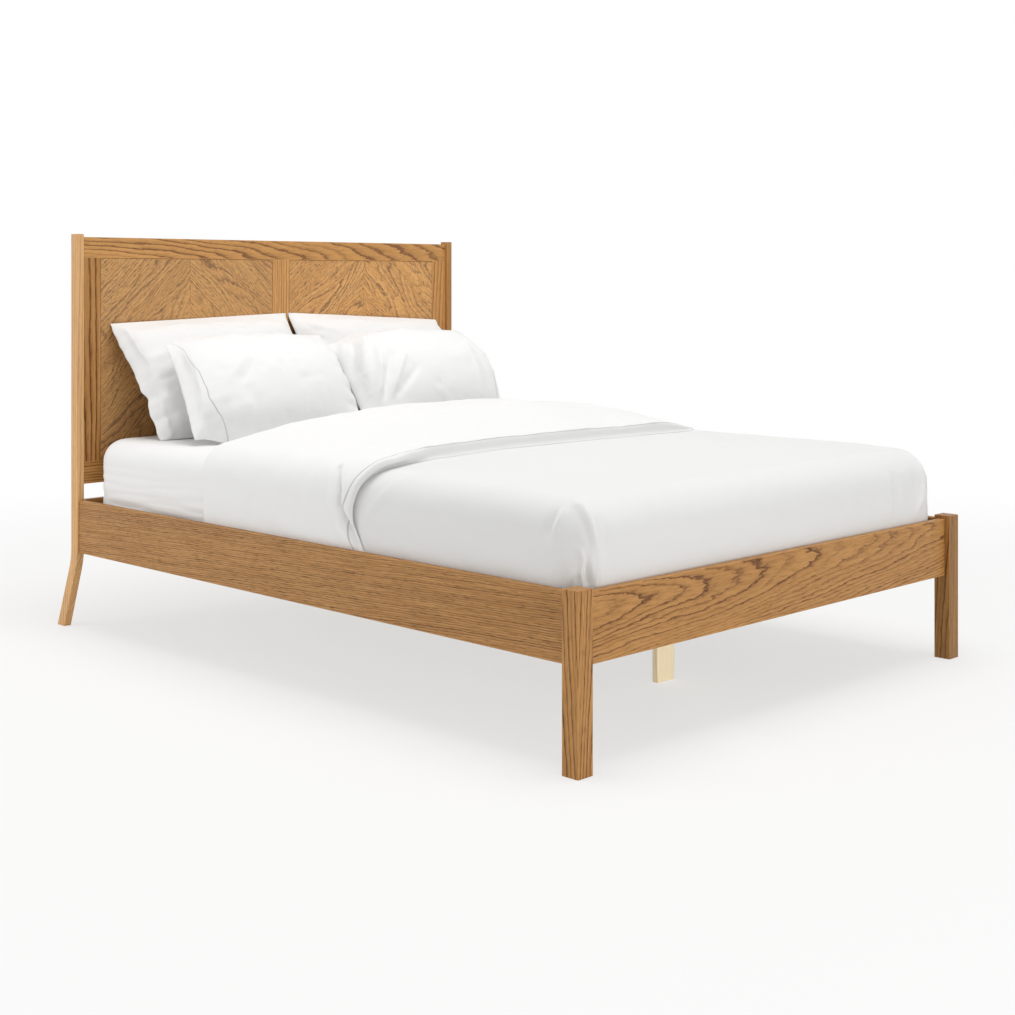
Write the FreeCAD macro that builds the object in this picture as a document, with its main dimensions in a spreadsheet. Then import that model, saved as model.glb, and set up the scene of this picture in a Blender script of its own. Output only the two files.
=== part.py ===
import FreeCAD, Part
import math
import os
import Sketcher

# Wooden double bed: oak frame with a chevron headboard, slatted base, mattress and bedding.
# Millimetres. Origin on the floor under the middle of the bed, +Z up, +Y towards the headboard.
# Left (-X) and right (+X) are those of someone at the foot who looks at the headboard.

# Driving sizes
SIZES = (
    # Mattress and the room that the frame leaves round it
    ("mattress_width", 1390),
    ("mattress_length", 1890),
    ("mattress_depth", 240),
    ("mattress_corner_radius", 110),
    ("mattress_edge_radius", 58),
    ("side_room", 12),
    ("foot_room", 12),
    ("head_room", 18),
    # Rails and posts
    ("rail_thickness", 18),
    ("rail_height", 148.7),
    ("rail_clearance", 218.8),
    ("foot_post_size", 45),
    ("foot_post_reveal", 20),
    ("foot_post_above_rail", 9),
    ("foot_rail_setback", 15),
    ("head_post_width", 22),
    ("head_post_depth", 34),
    ("head_post_reveal", 5),
    ("leg_kick", 72),
    ("leg_foot_depth", 38),
    ("leg_bend_height", 200),
    ("leg_bend_radius", 170),
    ("arris", 1.2),
    # Headboard frame, panels and chevron slips
    ("headboard_setback", 11),
    ("headboard_drop", 8.1),
    ("headboard_gap", 44.9),
    ("headboard_thickness", 20),
    ("top_rail_height", 59),
    ("bottom_rail_height", 63),
    ("panel_height", 585),
    ("side_stile_width", 60),
    ("centre_stile_width", 64),
    ("groove_depth", 6),
    ("groove_end_gap", 1),
    ("core_thickness", 8),
    ("slip_thickness", 3),
    ("slip_recess", 1),
    ("slip_width", 64),
    ("slip_joint", 0.5),
    ("slip_border", 1.5),
    ("slip_angle", 42),
    # Slatted base
    ("ledger_drop", 83.5),
    ("ledger_width", 20),
    ("ledger_height", 30),
    ("ledger_end_gap", 2),
    ("slat_width", 70),
    ("slat_thickness", 16),
    ("slat_end_gap", 3),
    ("slat_foot_gap", 18),
    ("slat_head_gap", 22),
    ("webbing_width", 24),
    ("webbing_thickness", 1.2),
    ("webbing_offset", 330),
    ("centre_rail_width", 28),
    ("centre_rail_height", 62),
    ("centre_leg_width", 64),
    ("centre_leg_thickness", 20),
    ("centre_leg_setback", 383),
    ("centre_leg_round", 4),
    ("hanger_steel", 2),
    ("hanger_depth", 40),
    ("hanger_ear", 22),
    # Fittings
    ("fit_gap", 0.1),
    ("cam_radius", 7.5),
    ("cam_depth", 13.5),
    ("cam_setback", 24),
    ("cam_above_bottom", 18),
    ("cam_below_top", 32),
    ("bolt_radius", 3.5),
    ("bolt_grip", 11),
    ("bolt_tip_gap", 0.3),
    ("dowel_radius", 4),
    ("dowel_in_post", 12),
    ("dowel_in_rail", 18),
    ("dowel_spread", 15),
    ("screw_radius", 2),
    ("screw_bite", 11),
    ("slat_screw_bite", 18),
    # Bedding
    ("soft_gap", 0.9),
    ("sheet_thickness", 1),
    ("sheet_lift", 6),
    ("tuck_gap", 1),
    ("tuck_depth", 40),
    ("duvet_loft", 16),
    ("duvet_crown", 5),
    ("duvet_shoulder", 62),
    ("duvet_corner_radius", 72),
    ("turn_down_from_head", 584),
    ("turn_down_length", 590),
    ("turn_down_edge", 31),
    ("turn_down_loft", 81),
    ("turn_down_crown", 59),
    ("fold_radius", 45),
    ("pillow_height", 390),
    ("pillow_hem", 8),
    ("pillow_hem_bow", 2),
    ("pillow_draw_in", 16),
    ("pillow_back_crown", 16),
    ("pillow_side_gap", 4),
    ("rear_pillow_width", 602),
    ("rear_pillow_flare", 14),
    ("rear_pillow_crown", 112),
    ("rear_pillow_lean", 33),
    ("rear_pillow_shift", 22),
    ("front_pillow_width", 586),
    ("front_pillow_flare", 20),
    ("front_pillow_crown", 118),
    ("front_pillow_lean", 41),
)
SLAT_COUNT = 14
LEDGER_SCREW_COUNT = 7
SIDES = (("left", -1), ("right", 1))
TOLERANCE = 1e-6
SCREW_ROWS = (0.25, 0.75)

# A pillow swells from its hems: stations along its height and the fullness at each, from 0 to 1
PILLOW_STATIONS = (-1, -0.96, -0.88, -0.76, -0.6, -0.4, -0.2, 0, 0.2, 0.4, 0.6, 0.76, 0.88, 0.96, 1)
PILLOW_SPREAD = 2.4
PILLOW_ROUND = 0.75

# Steps of the quarter circle that rounds an end of the duvet, in degrees
QUARTER_STEPS = (0, 22.5, 45, 67.5, 90)

DOC = FreeCAD.newDocument("WoodenBed")
SHEET = DOC.addObject("Spreadsheet::Sheet", "Sizes")
for row, (alias, size) in enumerate(SIZES, start=1):
    SHEET.set(f"A{row}", alias)
    SHEET.set(f"B{row}", str(size))
    SHEET.setAlias(f"B{row}", alias)
DOC.recompute()

# Places across the bed, measured out from its middle
RAIL_IN = "(Sizes.mattress_width / 2 + Sizes.side_room)"
RAIL_OUT = f"({RAIL_IN} + Sizes.rail_thickness)"
FOOT_POST_OUT = f"({RAIL_OUT} + Sizes.foot_post_reveal)"
FOOT_POST_IN = f"({FOOT_POST_OUT} - Sizes.foot_post_size)"
HEAD_POST_OUT = f"({RAIL_OUT} + Sizes.head_post_reveal)"
HEAD_POST_IN = f"({HEAD_POST_OUT} - Sizes.head_post_width)"
STILE_IN = f"({HEAD_POST_IN} - Sizes.side_stile_width)"
CENTRE_STILE_EDGE = "(Sizes.centre_stile_width / 2)"

# Places along the bed, from the front of the foot posts to the back of the rear feet
LENGTH = (
    "(Sizes.foot_rail_setback + Sizes.rail_thickness + Sizes.foot_room + Sizes.mattress_length"
    " + Sizes.head_room - Sizes.headboard_setback + Sizes.leg_kick + Sizes.leg_foot_depth)"
)
FOOT_FRONT = f"(-{LENGTH} / 2)"
FOOT_POST_BACK = f"({FOOT_FRONT} + Sizes.foot_post_size)"
FOOT_RAIL_FRONT = f"({FOOT_FRONT} + Sizes.foot_rail_setback)"
FOOT_RAIL_IN = f"({FOOT_RAIL_FRONT} + Sizes.rail_thickness)"
MATTRESS_FOOT = f"({FOOT_RAIL_IN} + Sizes.foot_room)"
MATTRESS_HEAD = f"({MATTRESS_FOOT} + Sizes.mattress_length)"
HEADBOARD_FRONT = f"({MATTRESS_HEAD} + Sizes.head_room)"
HEAD_POST_FRONT = f"({HEADBOARD_FRONT} - Sizes.headboard_setback)"
SLIP_FRONT = f"({HEADBOARD_FRONT} + Sizes.slip_recess)"
CORE_FRONT = f"({SLIP_FRONT} + Sizes.slip_thickness)"

# Heights above the floor
RAIL_TOP = "(Sizes.rail_clearance + Sizes.rail_height)"
LEDGER_TOP = f"({RAIL_TOP} - Sizes.ledger_drop)"
SLAT_TOP = f"({LEDGER_TOP} + Sizes.slat_thickness)"
SHEET_TOP = f"({SLAT_TOP} + Sizes.mattress_depth + Sizes.soft_gap + Sizes.sheet_thickness)"
HEADBOARD_BOTTOM = f"({RAIL_TOP} + Sizes.headboard_gap)"
PANEL_BOTTOM = f"({HEADBOARD_BOTTOM} + Sizes.bottom_rail_height)"
PANEL_TOP = f"({PANEL_BOTTOM} + Sizes.panel_height)"
HEADBOARD_TOP = f"({PANEL_TOP} + Sizes.top_rail_height)"
HEAD_POST_TOP = f"({HEADBOARD_TOP} + Sizes.headboard_drop)"
CAM_HEIGHTS = (
    "(Sizes.rail_clearance + Sizes.cam_above_bottom)",
    f"({RAIL_TOP} - Sizes.cam_below_top)",
)
DOWEL_HEIGHT = "(Sizes.rail_clearance + Sizes.rail_height / 2)"

# Slatted base and its middle bearer
SLAT_START = f"({FOOT_RAIL_IN} + Sizes.slat_foot_gap)"
SLAT_END = f"({HEADBOARD_FRONT} - Sizes.slat_head_gap)"
SLAT_REACH = f"({RAIL_IN} - Sizes.slat_end_gap)"
LEDGER_IN = f"({RAIL_IN} - Sizes.ledger_width)"
LEDGER_START = f"({FOOT_POST_BACK} + Sizes.ledger_end_gap)"
LEDGER_END = f"({HEAD_POST_FRONT} - Sizes.ledger_end_gap)"
HANGER_FOOT = f"({FOOT_RAIL_IN} + Sizes.hanger_steel)"
HANGER_HEAD = f"({HEADBOARD_FRONT} - Sizes.hanger_steel)"
CENTRE_BOTTOM = f"({LEDGER_TOP} - Sizes.centre_rail_height)"
LEG_FRONTS = {
    "foot": f"({FOOT_FRONT} + Sizes.centre_leg_setback)",
    "head": f"(-{FOOT_FRONT} - Sizes.centre_leg_setback - Sizes.centre_leg_thickness)",
}

# Clearance of each layer of bedding from the mattress
SHEET_IN = "Sizes.soft_gap"
SHEET_OUT = "(Sizes.soft_gap + Sizes.sheet_thickness)"
DUVET_IN = "(2 * Sizes.soft_gap + Sizes.sheet_thickness)"
MATTRESS_TOP = f"({SLAT_TOP} + Sizes.mattress_depth)"

AXES = {"X": (1, 0, 0), "Y": (0, 1, 0), "Z": (0, 0, 1)}
PLANES = {"X": "YZ_Plane", "Y": "XZ_Plane", "Z": "XY_Plane"}

NODES = []
BORES = {}
GROUPS = {}


def value(expression):
    """The number that an expression over the sheet gives now."""
    return float(SHEET.evalExpression(expression))


def place(item, at):
    """Bind an object's position to three expressions."""
    for axis, expression in zip("xyz", at):
        item.setExpression(f"Placement.Base.{axis}", expression)


def moved(at, direction, distance):
    """A point of three expressions, moved along a row axis."""
    return [f"({start} + {step} * ({distance}))" if step else start for start, step in zip(at, direction)]


def node(item, label):
    """Keep an object as a sub-part under its own label."""
    item.Label = label
    NODES.append(item)
    return item


def outline(body, along, points):
    """A closed sketch of straight lines whose corners are bound to expressions."""
    plane = next(item for item in body.Origin.OriginFeatures if item.Role == PLANES[along])
    sketch = body.newObject("Sketcher::SketchObject", "Outline")
    sketch.AttachmentSupport = [(plane, "")]
    sketch.MapMode = "FlatFace"
    corners = [FreeCAD.Vector(value(x), value(y), 0) for x, y in points]
    count = len(corners)
    for i in range(count):
        sketch.addGeometry(Part.LineSegment(corners[i], corners[(i + 1) % count]))
    for i in range(count):
        sketch.addConstraint(Sketcher.Constraint("Coincident", i, 2, (i + 1) % count, 1))
    for i, point in enumerate(points):
        for kind, expression in zip(("DistanceX", "DistanceY"), point):
            if expression != "0":
                # The distance is from the sketch's own origin
                datum = Sketcher.Constraint(kind, -1, 1, i, 1, value(expression))
                sketch.setExpression(f"Constraints[{sketch.addConstraint(datum)}]", expression)
            elif kind == "DistanceX":
                # A zero lies on the sketch's upright axis, or else on its level one
                sketch.addConstraint(Sketcher.Constraint("PointOnObject", i, 1, -2))
            else:
                sketch.addConstraint(Sketcher.Constraint("PointOnObject", i, 1, -1))
    return sketch


def pad(body, along, points, length):
    """Pad an outline along a row axis, towards its positive end."""
    feature = body.newObject("PartDesign::Pad", "Pad")
    feature.Profile = outline(body, along, points)
    feature.Reversed = along == "Y"
    feature.setExpression("Length", length)
    DOC.recompute()
    return feature


def edges_along(shape, along):
    """Names of the straight edges that run along a row axis."""
    axis = FreeCAD.Vector(*AXES[along])
    names = []
    for i, edge in enumerate(shape.Edges, start=1):
        if not isinstance(edge.Curve, Part.Line):
            continue
        if edge.tangentAt(edge.FirstParameter).cross(axis).Length < TOLERANCE:
            names.append(f"Edge{i}")
    return names


def ease(body, feature, names):
    """Take the sharp arris off edges of a body's last feature."""
    chamfer = body.newObject("PartDesign::Chamfer", "Arris")
    chamfer.Base = (feature, names)
    chamfer.setExpression("Size", "Sizes.arris")
    DOC.recompute()
    return chamfer


def rectangle(width, height):
    """Corners of a rectangle that starts at the sketch's origin."""
    return [("0", "0"), (width, "0"), (width, height), ("0", height)]


def board(label, along, low, size, eased=True):
    """A sawn board from its lowest corner, with its long edges eased."""
    body = DOC.addObject("PartDesign::Body", label)
    across = [expression for axis, expression in zip("XYZ", size) if axis != along]
    blank = pad(body, along, rectangle(*across), size["XYZ".index(along)])
    if eased:
        ease(body, blank, edges_along(blank.Shape, along))
    place(body, low)
    return body


def rod(at, direction, length, radius):
    """A round solid from a point along a row axis."""
    item = DOC.addObject("Part::Cylinder", "Rod")
    item.Placement.Rotation = FreeCAD.Rotation(FreeCAD.Vector(0, 0, 1), FreeCAD.Vector(*direction))
    item.setExpression("Height", length)
    item.setExpression("Radius", radius)
    place(item, at)
    return item


def bore(label, at, direction, length, radius):
    """Note a round hole to be drilled in a board, wider than its pin by the fit."""
    hole = rod(at, direction, length, f"{radius} + Sizes.fit_gap")
    BORES.setdefault(label, []).append(hole)


def fastener(group, at, direction, length, radius):
    """A round fastener that joins a group of its like."""
    GROUPS.setdefault(group, []).append(rod(at, direction, length, radius))


def finish(item, label):
    """Drill a board's noted holes and keep it as a sub-part."""
    holes = BORES.pop(label, [])
    if not holes:
        return node(item, label)
    tool = holes[0]
    if len(holes) > 1:
        tool = DOC.addObject("Part::MultiFuse", "Holes")
        tool.Shapes = holes
    item.Label = f"{label}_blank"
    drilled = DOC.addObject("Part::Cut", "Drilled")
    drilled.Base = item
    drilled.Tool = tool
    return node(drilled, label)


def reverse(direction):
    """The opposite row direction."""
    return tuple(-step for step in direction)


def dowel(group, rail, post, at, direction):
    """A dowel across a joint: at is on the joint face, direction points into the rail."""
    back = reverse(direction)
    bore(rail, at, direction, "Sizes.dowel_in_rail + Sizes.fit_gap", "Sizes.dowel_radius")
    bore(post, at, back, "Sizes.dowel_in_post + Sizes.fit_gap", "Sizes.dowel_radius")
    start = moved(at, back, "Sizes.dowel_in_post")
    fastener(group, start, direction, "Sizes.dowel_in_post + Sizes.dowel_in_rail", "Sizes.dowel_radius")


def knock_down_joint(rail, post, end, direction, inward):
    """Two cam bolts with their locks and one dowel between a rail's end and a post.

    end is the middle of the joint face in plan, direction points from the post along the rail and
    inward points from the middle of the rail's thickness to its inner face.
    """
    back = reverse(direction)
    for height in CAM_HEIGHTS:
        at = (end[0], end[1], height)
        bore(post, at, back, "Sizes.bolt_grip + Sizes.fit_gap", "Sizes.bolt_radius")
        bore(rail, at, direction, "Sizes.cam_setback", "Sizes.bolt_radius")
        start = moved(at, back, "Sizes.bolt_grip")
        length = "Sizes.bolt_grip + Sizes.cam_setback - Sizes.cam_radius - Sizes.bolt_tip_gap"
        fastener("cam_bolts", start, direction, length, "Sizes.bolt_radius")
        mouth = moved(moved(at, direction, "Sizes.cam_setback"), inward, "Sizes.rail_thickness / 2")
        bore(rail, mouth, reverse(inward), "Sizes.cam_depth + Sizes.fit_gap", "Sizes.cam_radius")
        fastener("cam_locks", mouth, reverse(inward), "Sizes.cam_depth", "Sizes.cam_radius")
    dowel("rail_dowels", rail, post, (end[0], end[1], DOWEL_HEIGHT), direction)


def screw(group, at, direction, pieces, length):
    """A screw through pieces that share one straight hole."""
    for label in pieces:
        bore(label, at, direction, f"{length} + Sizes.fit_gap", "Sizes.screw_radius")
    fastener(group, at, direction, length, "Sizes.screw_radius")


def rail_joints():
    """The eight joints between rails and posts."""
    half = "Sizes.rail_thickness / 2"
    for side, sign in SIDES:
        middle = f"({sign} * ({RAIL_IN} + {half}))"
        inward = (-sign, 0, 0)
        rail = f"side_rail_{side}"
        knock_down_joint(rail, f"foot_post_{side}", (middle, FOOT_POST_BACK), (0, 1, 0), inward)
        knock_down_joint(rail, f"head_post_{side}", (middle, HEAD_POST_FRONT), (0, -1, 0), inward)
        foot_end = (f"({sign} * {FOOT_POST_IN})", f"({FOOT_RAIL_FRONT} + {half})")
        knock_down_joint("foot_rail", f"foot_post_{side}", foot_end, inward, (0, 1, 0))
        head_end = (f"({sign} * {HEAD_POST_IN})", f"({HEADBOARD_FRONT} + {half})")
        knock_down_joint("head_cross_rail", f"head_post_{side}", head_end, inward, (0, -1, 0))


def headboard_joints():
    """Two dowels at each end of the headboard's top and bottom rails."""
    middle_y = f"({HEADBOARD_FRONT} + Sizes.headboard_thickness / 2)"
    rows = (
        ("headboard_top_rail", f"({HEADBOARD_TOP} - Sizes.top_rail_height / 2)"),
        ("headboard_bottom_rail", f"({HEADBOARD_BOTTOM} + Sizes.bottom_rail_height / 2)"),
    )
    for side, sign in SIDES:
        for rail, middle_z in rows:
            for step in (-1, 1):
                height = f"({middle_z} + {step} * Sizes.dowel_spread)"
                at = (f"({sign} * {HEAD_POST_IN})", middle_y, height)
                dowel("headboard_dowels", rail, f"head_post_{side}", at, (-sign, 0, 0))


def foot_posts():
    """Square posts that stand a little proud of the rails, eased all round their tops."""
    height = f"{RAIL_TOP} + Sizes.foot_post_above_rail"
    size = "Sizes.foot_post_size"
    for side, sign in SIDES:
        label = f"foot_post_{side}"
        body = DOC.addObject("PartDesign::Body", label)
        blank = pad(body, "Z", rectangle(size, size), height)
        top = blank.Shape.BoundBox.ZMax
        rim = [
            f"Edge{i}"
            for i, edge in enumerate(blank.Shape.Edges, start=1)
            if edge.CenterOfMass.z > top - TOLERANCE
        ]
        ease(body, blank, edges_along(blank.Shape, "Z") + rim)
        place(body, (FOOT_POST_IN if sign > 0 else f"-{FOOT_POST_OUT}", FOOT_FRONT, "0"))
        finish(body, label)


def head_posts():
    """Slim posts, straight to below the rails and then bent back to a raked foot."""
    profile = [
        ("0", HEAD_POST_TOP),
        ("0", "Sizes.leg_bend_height"),
        ("Sizes.leg_kick", "0"),
        ("Sizes.leg_kick + Sizes.leg_foot_depth", "0"),
        ("Sizes.head_post_depth", "Sizes.leg_bend_height"),
        ("Sizes.head_post_depth", HEAD_POST_TOP),
    ]
    for side, sign in SIDES:
        label = f"head_post_{side}"
        body = DOC.addObject("PartDesign::Body", label)
        blank = pad(body, "X", profile, "Sizes.head_post_width")
        bend_height = value("Sizes.leg_bend_height")
        bends = [
            f"Edge{i}"
            for i, edge in enumerate(blank.Shape.Edges, start=1)
            if all(abs(vertex.Z - bend_height) < TOLERANCE for vertex in edge.Vertexes)
        ]
        bent = body.newObject("PartDesign::Fillet", "Bend")
        bent.Base = (blank, bends)
        bent.setExpression("Radius", "Sizes.leg_bend_radius")
        DOC.recompute()
        ease(body, bent, edges_along(bent.Shape, "Z"))
        place(body, (HEAD_POST_IN if sign > 0 else f"-{HEAD_POST_OUT}", HEAD_POST_FRONT, "0"))
        finish(body, label)


def rails():
    """The four rails of the bed's box, all at one height."""
    thick = "Sizes.rail_thickness"
    tall = "Sizes.rail_height"
    base = "Sizes.rail_clearance"
    run = f"({HEAD_POST_FRONT} - {FOOT_POST_BACK})"
    for side, sign in SIDES:
        low_x = RAIL_IN if sign > 0 else f"-{RAIL_OUT}"
        label = f"side_rail_{side}"
        finish(board(label, "Y", (low_x, FOOT_POST_BACK, base), (thick, run, tall)), label)
    for label, inner, front in (
        ("foot_rail", FOOT_POST_IN, FOOT_RAIL_FRONT),
        ("head_cross_rail", HEAD_POST_IN, HEADBOARD_FRONT),
    ):
        span = f"2 * {inner}"
        finish(board(label, "X", (f"-{inner}", front, base), (span, thick, tall)), label)


def headboard_rails():
    """Top and bottom rails between the head posts, each grooved for the panels and stub tenons."""
    deep = "Sizes.headboard_thickness"
    front = "(Sizes.slip_recess + Sizes.slip_thickness)"
    back = f"({front} + Sizes.core_thickness)"
    span = f"2 * {HEAD_POST_IN}"
    top = "Sizes.top_rail_height"
    groove_top = "Sizes.groove_depth"
    bottom = "Sizes.bottom_rail_height"
    groove_bottom = f"({bottom} - Sizes.groove_depth)"
    top_section = [
        ("0", "0"), (front, "0"), (front, groove_top), (back, groove_top),
        (back, "0"), (deep, "0"), (deep, top), ("0", top),
    ]
    bottom_section = [
        ("0", "0"), (deep, "0"), (deep, bottom), (back, bottom),
        (back, groove_bottom), (front, groove_bottom), (front, bottom), ("0", bottom),
    ]
    for label, section, height in (
        ("headboard_top_rail", top_section, PANEL_TOP),
        ("headboard_bottom_rail", bottom_section, HEADBOARD_BOTTOM),
    ):
        body = DOC.addObject("PartDesign::Body", label)
        pad(body, "X", section, span)
        place(body, (f"-{HEAD_POST_IN}", HEADBOARD_FRONT, height))
        finish(body, label)


def headboard_stile(label, low_x, width, grooves):
    """An upright between the rails: grooved edges and a stub tenon at each end."""
    deep = "Sizes.headboard_thickness"
    front = "(Sizes.slip_recess + Sizes.slip_thickness)"
    back = f"({front} + Sizes.core_thickness)"
    tongue_low = "Sizes.groove_depth" if "low" in grooves else "0"
    tongue_high = f"({width} - Sizes.groove_depth)" if "high" in grooves else width
    section = [("0", "0"), (width, "0")]
    if "high" in grooves:
        section += [(width, front), (tongue_high, front), (tongue_high, back), (width, back)]
    section += [(width, deep), ("0", deep)]
    if "low" in grooves:
        section += [("0", back), (tongue_low, back), (tongue_low, front), ("0", front)]
    tenon = [(tongue_low, front), (tongue_high, front), (tongue_high, back), (tongue_low, back)]
    reach = "(Sizes.groove_depth - Sizes.groove_end_gap)"
    body = DOC.addObject("PartDesign::Body", label)
    pad(body, "Z", section, "Sizes.panel_height")
    ends = pad(body, "Z", tenon, f"Sizes.panel_height + 2 * {reach}")
    ends.Profile[0].setExpression("AttachmentOffset.Base.z", f"-{reach}")
    place(body, (low_x, HEADBOARD_FRONT, PANEL_BOTTOM))
    node(body, label)


def headboard_stiles():
    """Two side stiles against the posts and one stile in the middle."""
    side_width = "Sizes.side_stile_width"
    headboard_stile("headboard_stile_left", f"-{HEAD_POST_IN}", side_width, ("high",))
    headboard_stile("headboard_stile_right", STILE_IN, side_width, ("low",))
    centre_width = "Sizes.centre_stile_width"
    headboard_stile("headboard_centre_stile", f"-{CENTRE_STILE_EDGE}", centre_width, ("low", "high"))


def headboard_panels():
    """Panel cores whose edges sit in the grooves of the frame."""
    reach = "(Sizes.groove_depth - Sizes.groove_end_gap)"
    width = f"({STILE_IN} - {CENTRE_STILE_EDGE} + 2 * {reach})"
    height = f"(Sizes.panel_height + 2 * {reach})"
    for side, sign in SIDES:
        low_x = f"({CENTRE_STILE_EDGE} - {reach})" if sign > 0 else f"(-{STILE_IN} - {reach})"
        core = DOC.addObject("Part::Box", "Core")
        for name, expression in zip(("Length", "Width", "Height"), (width, "Sizes.core_thickness", height)):
            core.setExpression(name, expression)
        place(core, (low_x, CORE_FRONT, f"({PANEL_BOTTOM} - {reach})"))
        node(core, f"headboard_panel_{side}")


def chevron_field(label, low_x, high_x, slope):
    """Slanted slips side by side, clipped to one half of a panel.

    Bands of the slip's width climb at the chevron's angle, to the right for a slope of 1 and to the
    left for -1, and are cut by the field's own rectangle.
    """
    border = value("Sizes.slip_border")
    low_z = value(PANEL_BOTTOM) + border
    high_z = value(PANEL_TOP) - border
    thick = value("Sizes.slip_thickness")
    pitch = value("Sizes.slip_width")
    joint = value("Sizes.slip_joint")
    front = value(SLIP_FRONT)
    field = Part.makeBox(high_x - low_x, thick, high_z - low_z, FreeCAD.Vector(low_x, front, low_z))
    reach = math.hypot(high_x - low_x, high_z - low_z)
    mitre_x = high_x if slope > 0 else low_x
    turn = FreeCAD.Rotation(FreeCAD.Vector(0, 1, 0), -slope * value("Sizes.slip_angle"))
    slips = []
    for i in range(-math.ceil(reach / pitch), math.ceil(reach / pitch)):
        band = Part.makeBox(2 * reach, thick, pitch - joint, FreeCAD.Vector(-reach, 0, i * pitch))
        band.Placement = FreeCAD.Placement(FreeCAD.Vector(mitre_x, front, low_z), turn)
        piece = band.common(field)
        slips += [solid for solid in piece.Solids if solid.Volume > thick * pitch]
    item = DOC.addObject("Part::Feature", label)
    item.Shape = Part.makeCompound(slips)
    node(item, label)


def chevron_fields():
    """Both panels: slips rise to the panel's middle from its two sides."""
    border = value("Sizes.slip_border")
    half_joint = value("Sizes.slip_joint") / 2
    inner = value(CENTRE_STILE_EDGE) + border
    outer = value(STILE_IN) - border
    middle = (inner + outer) / 2
    for side, low_x, mid_x, high_x in (("left", -outer, -middle, -inner), ("right", inner, middle, outer)):
        chevron_field(f"chevron_{side}_rising", low_x, mid_x - half_joint, 1)
        chevron_field(f"chevron_{side}_falling", mid_x + half_joint, high_x, -1)


def slat_low(index):
    """Where a slat starts along the bed."""
    return f"({SLAT_START} + ({SLAT_END} - {SLAT_START} - Sizes.slat_width) * {index} / {SLAT_COUNT - 1})"


def slatted_base():
    """Ledgers on the side rails, the slats across them and the tapes that space the slats."""
    run = f"({LEDGER_END} - {LEDGER_START})"
    low_z = f"({LEDGER_TOP} - Sizes.ledger_height)"
    for side, sign in SIDES:
        label = f"ledger_{side}"
        low_x = LEDGER_IN if sign > 0 else f"-{RAIL_IN}"
        size = ("Sizes.ledger_width", run, "Sizes.ledger_height")
        finish(board(label, "Y", (low_x, LEDGER_START, low_z), size, eased=False), label)
    for index in range(SLAT_COUNT):
        label = f"slat_{index + 1:02d}"
        size = (f"2 * {SLAT_REACH}", "Sizes.slat_width", "Sizes.slat_thickness")
        finish(board(label, "X", (f"-{SLAT_REACH}", slat_low(index), LEDGER_TOP), size), label)
    tapes = []
    for side, sign in SIDES:
        tape = DOC.addObject("Part::Box", "Tape")
        tape.setExpression("Length", "Sizes.webbing_width")
        tape.setExpression("Width", f"{SLAT_END} - {SLAT_START}")
        tape.setExpression("Height", "Sizes.webbing_thickness")
        low_x = f"({sign} * Sizes.webbing_offset - Sizes.webbing_width / 2)"
        place(tape, (low_x, SLAT_START, f"({LEDGER_TOP} - Sizes.webbing_thickness)"))
        tapes.append(tape)
    webbing = DOC.addObject("Part::Compound", "Webbing")
    webbing.Links = tapes
    node(webbing, "slat_webbing")


def base_screws():
    """Screws of the ledgers and of the first and last slats."""
    ledger_middle = f"({LEDGER_TOP} - Sizes.ledger_height / 2)"
    for side, sign in SIDES:
        ledger = f"ledger_{side}"
        for index in range(LEDGER_SCREW_COUNT):
            part = f"({index} + 0.5) / {LEDGER_SCREW_COUNT}"
            along = f"({LEDGER_START} + ({LEDGER_END} - {LEDGER_START}) * {part})"
            at = (f"({sign} * {LEDGER_IN})", along, ledger_middle)
            length = "Sizes.ledger_width + Sizes.screw_bite"
            screw("ledger_screws", at, (sign, 0, 0), (ledger, f"side_rail_{side}"), length)
        middle = f"({sign} * ({RAIL_IN} - Sizes.ledger_width / 2))"
        for index in (0, SLAT_COUNT - 1):
            at = (middle, f"({slat_low(index)} + Sizes.slat_width / 2)", SLAT_TOP)
            length = "Sizes.slat_thickness + Sizes.slat_screw_bite"
            screw("slat_screws", at, (0, 0, -1), (f"slat_{index + 1:02d}", ledger), length)


def centre_support():
    """The middle bearer on edge, with its two legs notched round it."""
    half = "Sizes.centre_rail_width / 2"
    run = f"({HANGER_HEAD} - {HANGER_FOOT})"
    size = ("Sizes.centre_rail_width", run, "Sizes.centre_rail_height")
    low = (f"(-{half})", HANGER_FOOT, CENTRE_BOTTOM)
    finish(board("centre_rail", "Y", low, size, eased=False), "centre_rail")
    edge = "Sizes.centre_leg_width / 2"
    notched = [
        (f"(-{edge})", "0"), (edge, "0"), (edge, LEDGER_TOP), (half, LEDGER_TOP), (half, CENTRE_BOTTOM),
        (f"(-{half})", CENTRE_BOTTOM), (f"(-{half})", LEDGER_TOP), (f"(-{edge})", LEDGER_TOP),
    ]
    for end, front in LEG_FRONTS.items():
        label = f"centre_leg_{end}"
        body = DOC.addObject("PartDesign::Body", label)
        blank = pad(body, "Y", notched, "Sizes.centre_leg_thickness")
        outer = value(edge) - TOLERANCE
        corners = [
            name for name in edges_along(blank.Shape, "Z")
            if abs(blank.Shape.getElement(name).CenterOfMass.x) > outer
        ]
        rounded = body.newObject("PartDesign::Fillet", "Round")
        rounded.Base = (blank, corners)
        rounded.setExpression("Radius", "Sizes.centre_leg_round")
        place(body, ("0", front, "0"))
        finish(body, label)


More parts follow.
